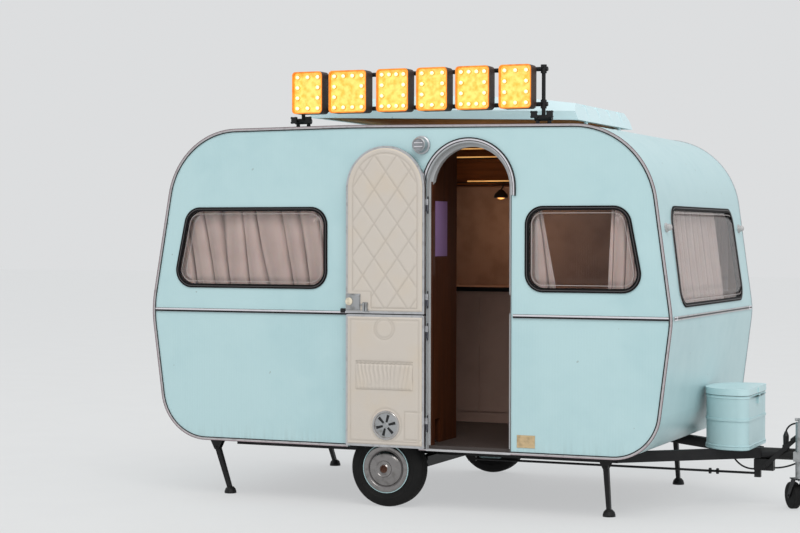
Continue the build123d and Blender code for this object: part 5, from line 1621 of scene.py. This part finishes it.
mesh = bmesh.new()
for left, right in BOX_SPANS:
    corners = [(left, box_low.z), (right, box_low.z), (right, box_high.z), (left, box_high.z)]
    front = mesh.faces.new([mesh.verts.new((x, box_low.y, z)) for x, z in corners])
    rounded = bmesh.ops.bevel(
        mesh, geom=front.verts[:], offset=BOX_CORNER, segments=6, profile=0.5, affect="VERTICES", material=-1
    )
    near = rounded["faces"] + [face for vert in rounded["verts"] for face in vert.link_faces]
    front = max(near, key=lambda face: face.calc_area())
    back = bmesh.ops.extrude_face_region(mesh, geom=[front])
    bmesh.ops.translate(mesh, verts=verts_of(back), vec=(0, box_high.y - box_low.y, 0))
    inner = [face for face in mesh.faces if is_front(face, left, right)]
    made = bmesh.ops.inset_region(mesh, faces=inner, thickness=BOX_RIM)
    for face in made["faces"]:
        face.material_index = 1
    pushed = bmesh.ops.extrude_face_region(mesh, geom=inner)
    bmesh.ops.translate(mesh, verts=verts_of(pushed), vec=(0, FACE_RECESS, 0))
    bmesh.ops.delete(mesh, geom=inner, context="FACES")
    for item in pushed["geom"]:
        if isinstance(item, bmesh.types.BMFace):
            item.material_index = 2
            for edge in item.edges:
                for other in edge.link_faces:
                    if abs(other.normal.y) < 0.5:
                        other.material_index = 1
trays = place_piece(mesh, "light_boxes", [tray_brown, orange_rim_painted_glow, sign_face_painted_glow])
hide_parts("sign_boxes")

# %% [markdown]
# Small bulbs stand in a ring just inside the rim of each box, at an even pitch along its four sides.
# Rows and columns of a plain count give their places, and only the outer ones are kept. There are
# many, so each is a sphere of few faces, drawn out a little, in a short orange socket.

# %% Bulbs
BULB_RADIUS = 0.0105
BULB_SPACING = 0.052
BULB_MARGIN = 0.032
SOCKET_RADIUS = 0.0120
bulb_y = box_low.y + FACE_RECESS
mesh = bmesh.new()
sockets = bmesh.new()
count = 0
for left, right in BOX_SPANS:
    x_low, x_high = left + BULB_MARGIN, right - BULB_MARGIN
    z_low, z_high = box_low.z + BULB_MARGIN, box_high.z - BULB_MARGIN
    wide = max(2, round((x_high - x_low) / BULB_SPACING)) + 1
    tall = max(2, round((z_high - z_low) / BULB_SPACING)) + 1
    for column in range(wide):
        for row in range(tall):
            if 0 < column < wide - 1 and 0 < row < tall - 1:
                continue
            x = x_low + (x_high - x_low) * column / (wide - 1)
            z = z_low + (z_high - z_low) * row / (tall - 1)
            shape = Matrix.Translation((x, bulb_y - 0.013, z)) @ Matrix.Diagonal((1.0, 1.15, 1.0, 1.0))
            bmesh.ops.create_uvsphere(mesh, u_segments=10, v_segments=7, radius=BULB_RADIUS, matrix=shape)
            add_rod(sockets, (x, bulb_y - 0.004, z), (x, bulb_y + 0.001, z), SOCKET_RADIUS, segments=12)
            count += 1
place_piece(mesh, "bulbs", bulb_glow)
place_piece(sockets, "bulb_sockets", orange_rim_painted_glow)
print("bulbs", count)

# %% [markdown]
# ## Floor, backdrop and light
# The studio is a large pale sheet under a soft sky. A horizon would draw the eye, so what the camera
# sees of the floor and the sky is brought near to one pale tone with Light Path, while the light that
# they give, and the shadow on the floor, stay as they are.

# %% Studio
FLOOR_COLOUR = (0.62, 0.615, 0.60)
BACKDROP = (0.80, 0.81, 0.82)
SKY_LIGHT = (0.90, 0.935, 0.965)
FLOOR_VEIL = 0.60
FLOOR_HALF = 60.0
SKY_SHOWN = 0.90


def seen_directly(tree):
    """1 for rays that see a surface directly, in a mirror or through glass, and 0 for its light."""
    rays = tree.nodes.new("ShaderNodeLightPath")
    seen = rays.outputs["Is Camera Ray"]
    for kind in ("Is Glossy Ray", "Is Transmission Ray"):
        either = tree.nodes.new("ShaderNodeMath")
        either.operation = "MAXIMUM"
        tree.links.new(seen, either.inputs[0])
        tree.links.new(rays.outputs[kind], either.inputs[1])
        seen = either.outputs[0]
    return seen


studio = Finish("studio_floor")
grain = studio.noise(2.5, 4.0)
floor_tint = studio.mix(FLOOR_COLOUR, tuple(0.97 * c for c in FLOOR_COLOUR), grain.ramp(0.3, 0.7))
floor_finish = studio.surface(Base_Color=floor_tint, Roughness=0.8 + grain * 0.1)
lit_floor = studio.out.inputs["Surface"].links[0].from_socket
veil = studio.node("ShaderNodeEmission", {}, {"Color": BACKDROP})
share = Value(studio, seen_directly(studio.tree)) * FLOOR_VEIL
pale = studio.node("ShaderNodeMixShader", {}, {0: share, 1: Value(studio, lit_floor), 2: veil})
studio.tree.links.new(pale.socket, studio.out.inputs["Surface"])
mesh = bmesh.new()
bmesh.ops.create_grid(mesh, x_segments=1, y_segments=1, size=FLOOR_HALF)
floor_data = bpy.data.meshes.new("studio_floor")
mesh.to_mesh(floor_data)
mesh.free()
floor = bpy.data.objects.new("studio_floor", floor_data)
floor_data.materials.append(floor_finish)
scene.collection.objects.link(floor)
print("floor of", 2 * FLOOR_HALF, "m")

# %% [markdown]
# The world is plain, with one colour for the light that it gives and one that is seen. A picture of a
# sky would put its own shapes into every reflection, which the real overcast day did not.

# %% Sky
world = bpy.data.worlds.new("overcast")
world.use_nodes = True
scene.world = world
sky = world.node_tree.nodes["Background"]
shown = world.node_tree.nodes.new("ShaderNodeMix")
shown.data_type = "RGBA"
shown.inputs[6].default_value = (*SKY_LIGHT, 1.0)
shown.inputs[7].default_value = (*(SKY_SHOWN * c for c in BACKDROP), 1.0)
world.node_tree.links.new(seen_directly(world.node_tree), shown.inputs[0])
world.node_tree.links.new(shown.outputs[2], sky.inputs["Color"])
sky.inputs["Strength"].default_value = 1.0
print("sky light", SKY_LIGHT)

# %% [markdown]
# A wide area lamp, high up in front and to the right, stands for the brighter part of an overcast sky
# and gives soft shadows a direction. A small point lamp under the shade in the cabin gives the warm
# glow at the doorway, and stays out of sight itself.

# %% Lights
def aim(light, place, target):
    """Stand a light at a place and turn it towards a target."""
    way = Vector(target) - Vector(place)
    light.matrix_world = Matrix.Translation(place) @ way.to_track_quat("-Z", "Y").to_matrix().to_4x4()
    scene.collection.objects.link(light)


broad = bpy.data.lights.new("broad_sky", "AREA")
broad.shape = "RECTANGLE"
broad.size = 14.0
broad.size_y = 11.0
broad.energy = 1850.0
broad.color = (1.0, 0.985, 0.96)
aim(bpy.data.objects.new("broad_sky", broad), (7.2, -13.5, 17.0), (0.2, -0.4, 1.2))
cabin_light = bpy.data.lights.new("cabin_light", "POINT")
cabin_light.shadow_soft_size = 0.09
cabin_light.energy = 2.7
cabin_light.color = (0.91, 0.61, 0.39)
cabin_lamp = bpy.data.objects.new("cabin_light", cabin_light)
cabin_lamp.visible_camera = False
cabin_lamp.visible_glossy = False
cabin_lamp.visible_transmission = False
aim(cabin_lamp, (LAMP_AT[0], LAMP_AT[1] - 0.06, LAMP_AT[2] - 0.10), (LAMP_AT[0], LAMP_AT[1] - 0.06, 0.0))
scene.view_settings.view_transform = "Standard"
print("lamps:", broad.energy, "and", cabin_light.energy, "W")
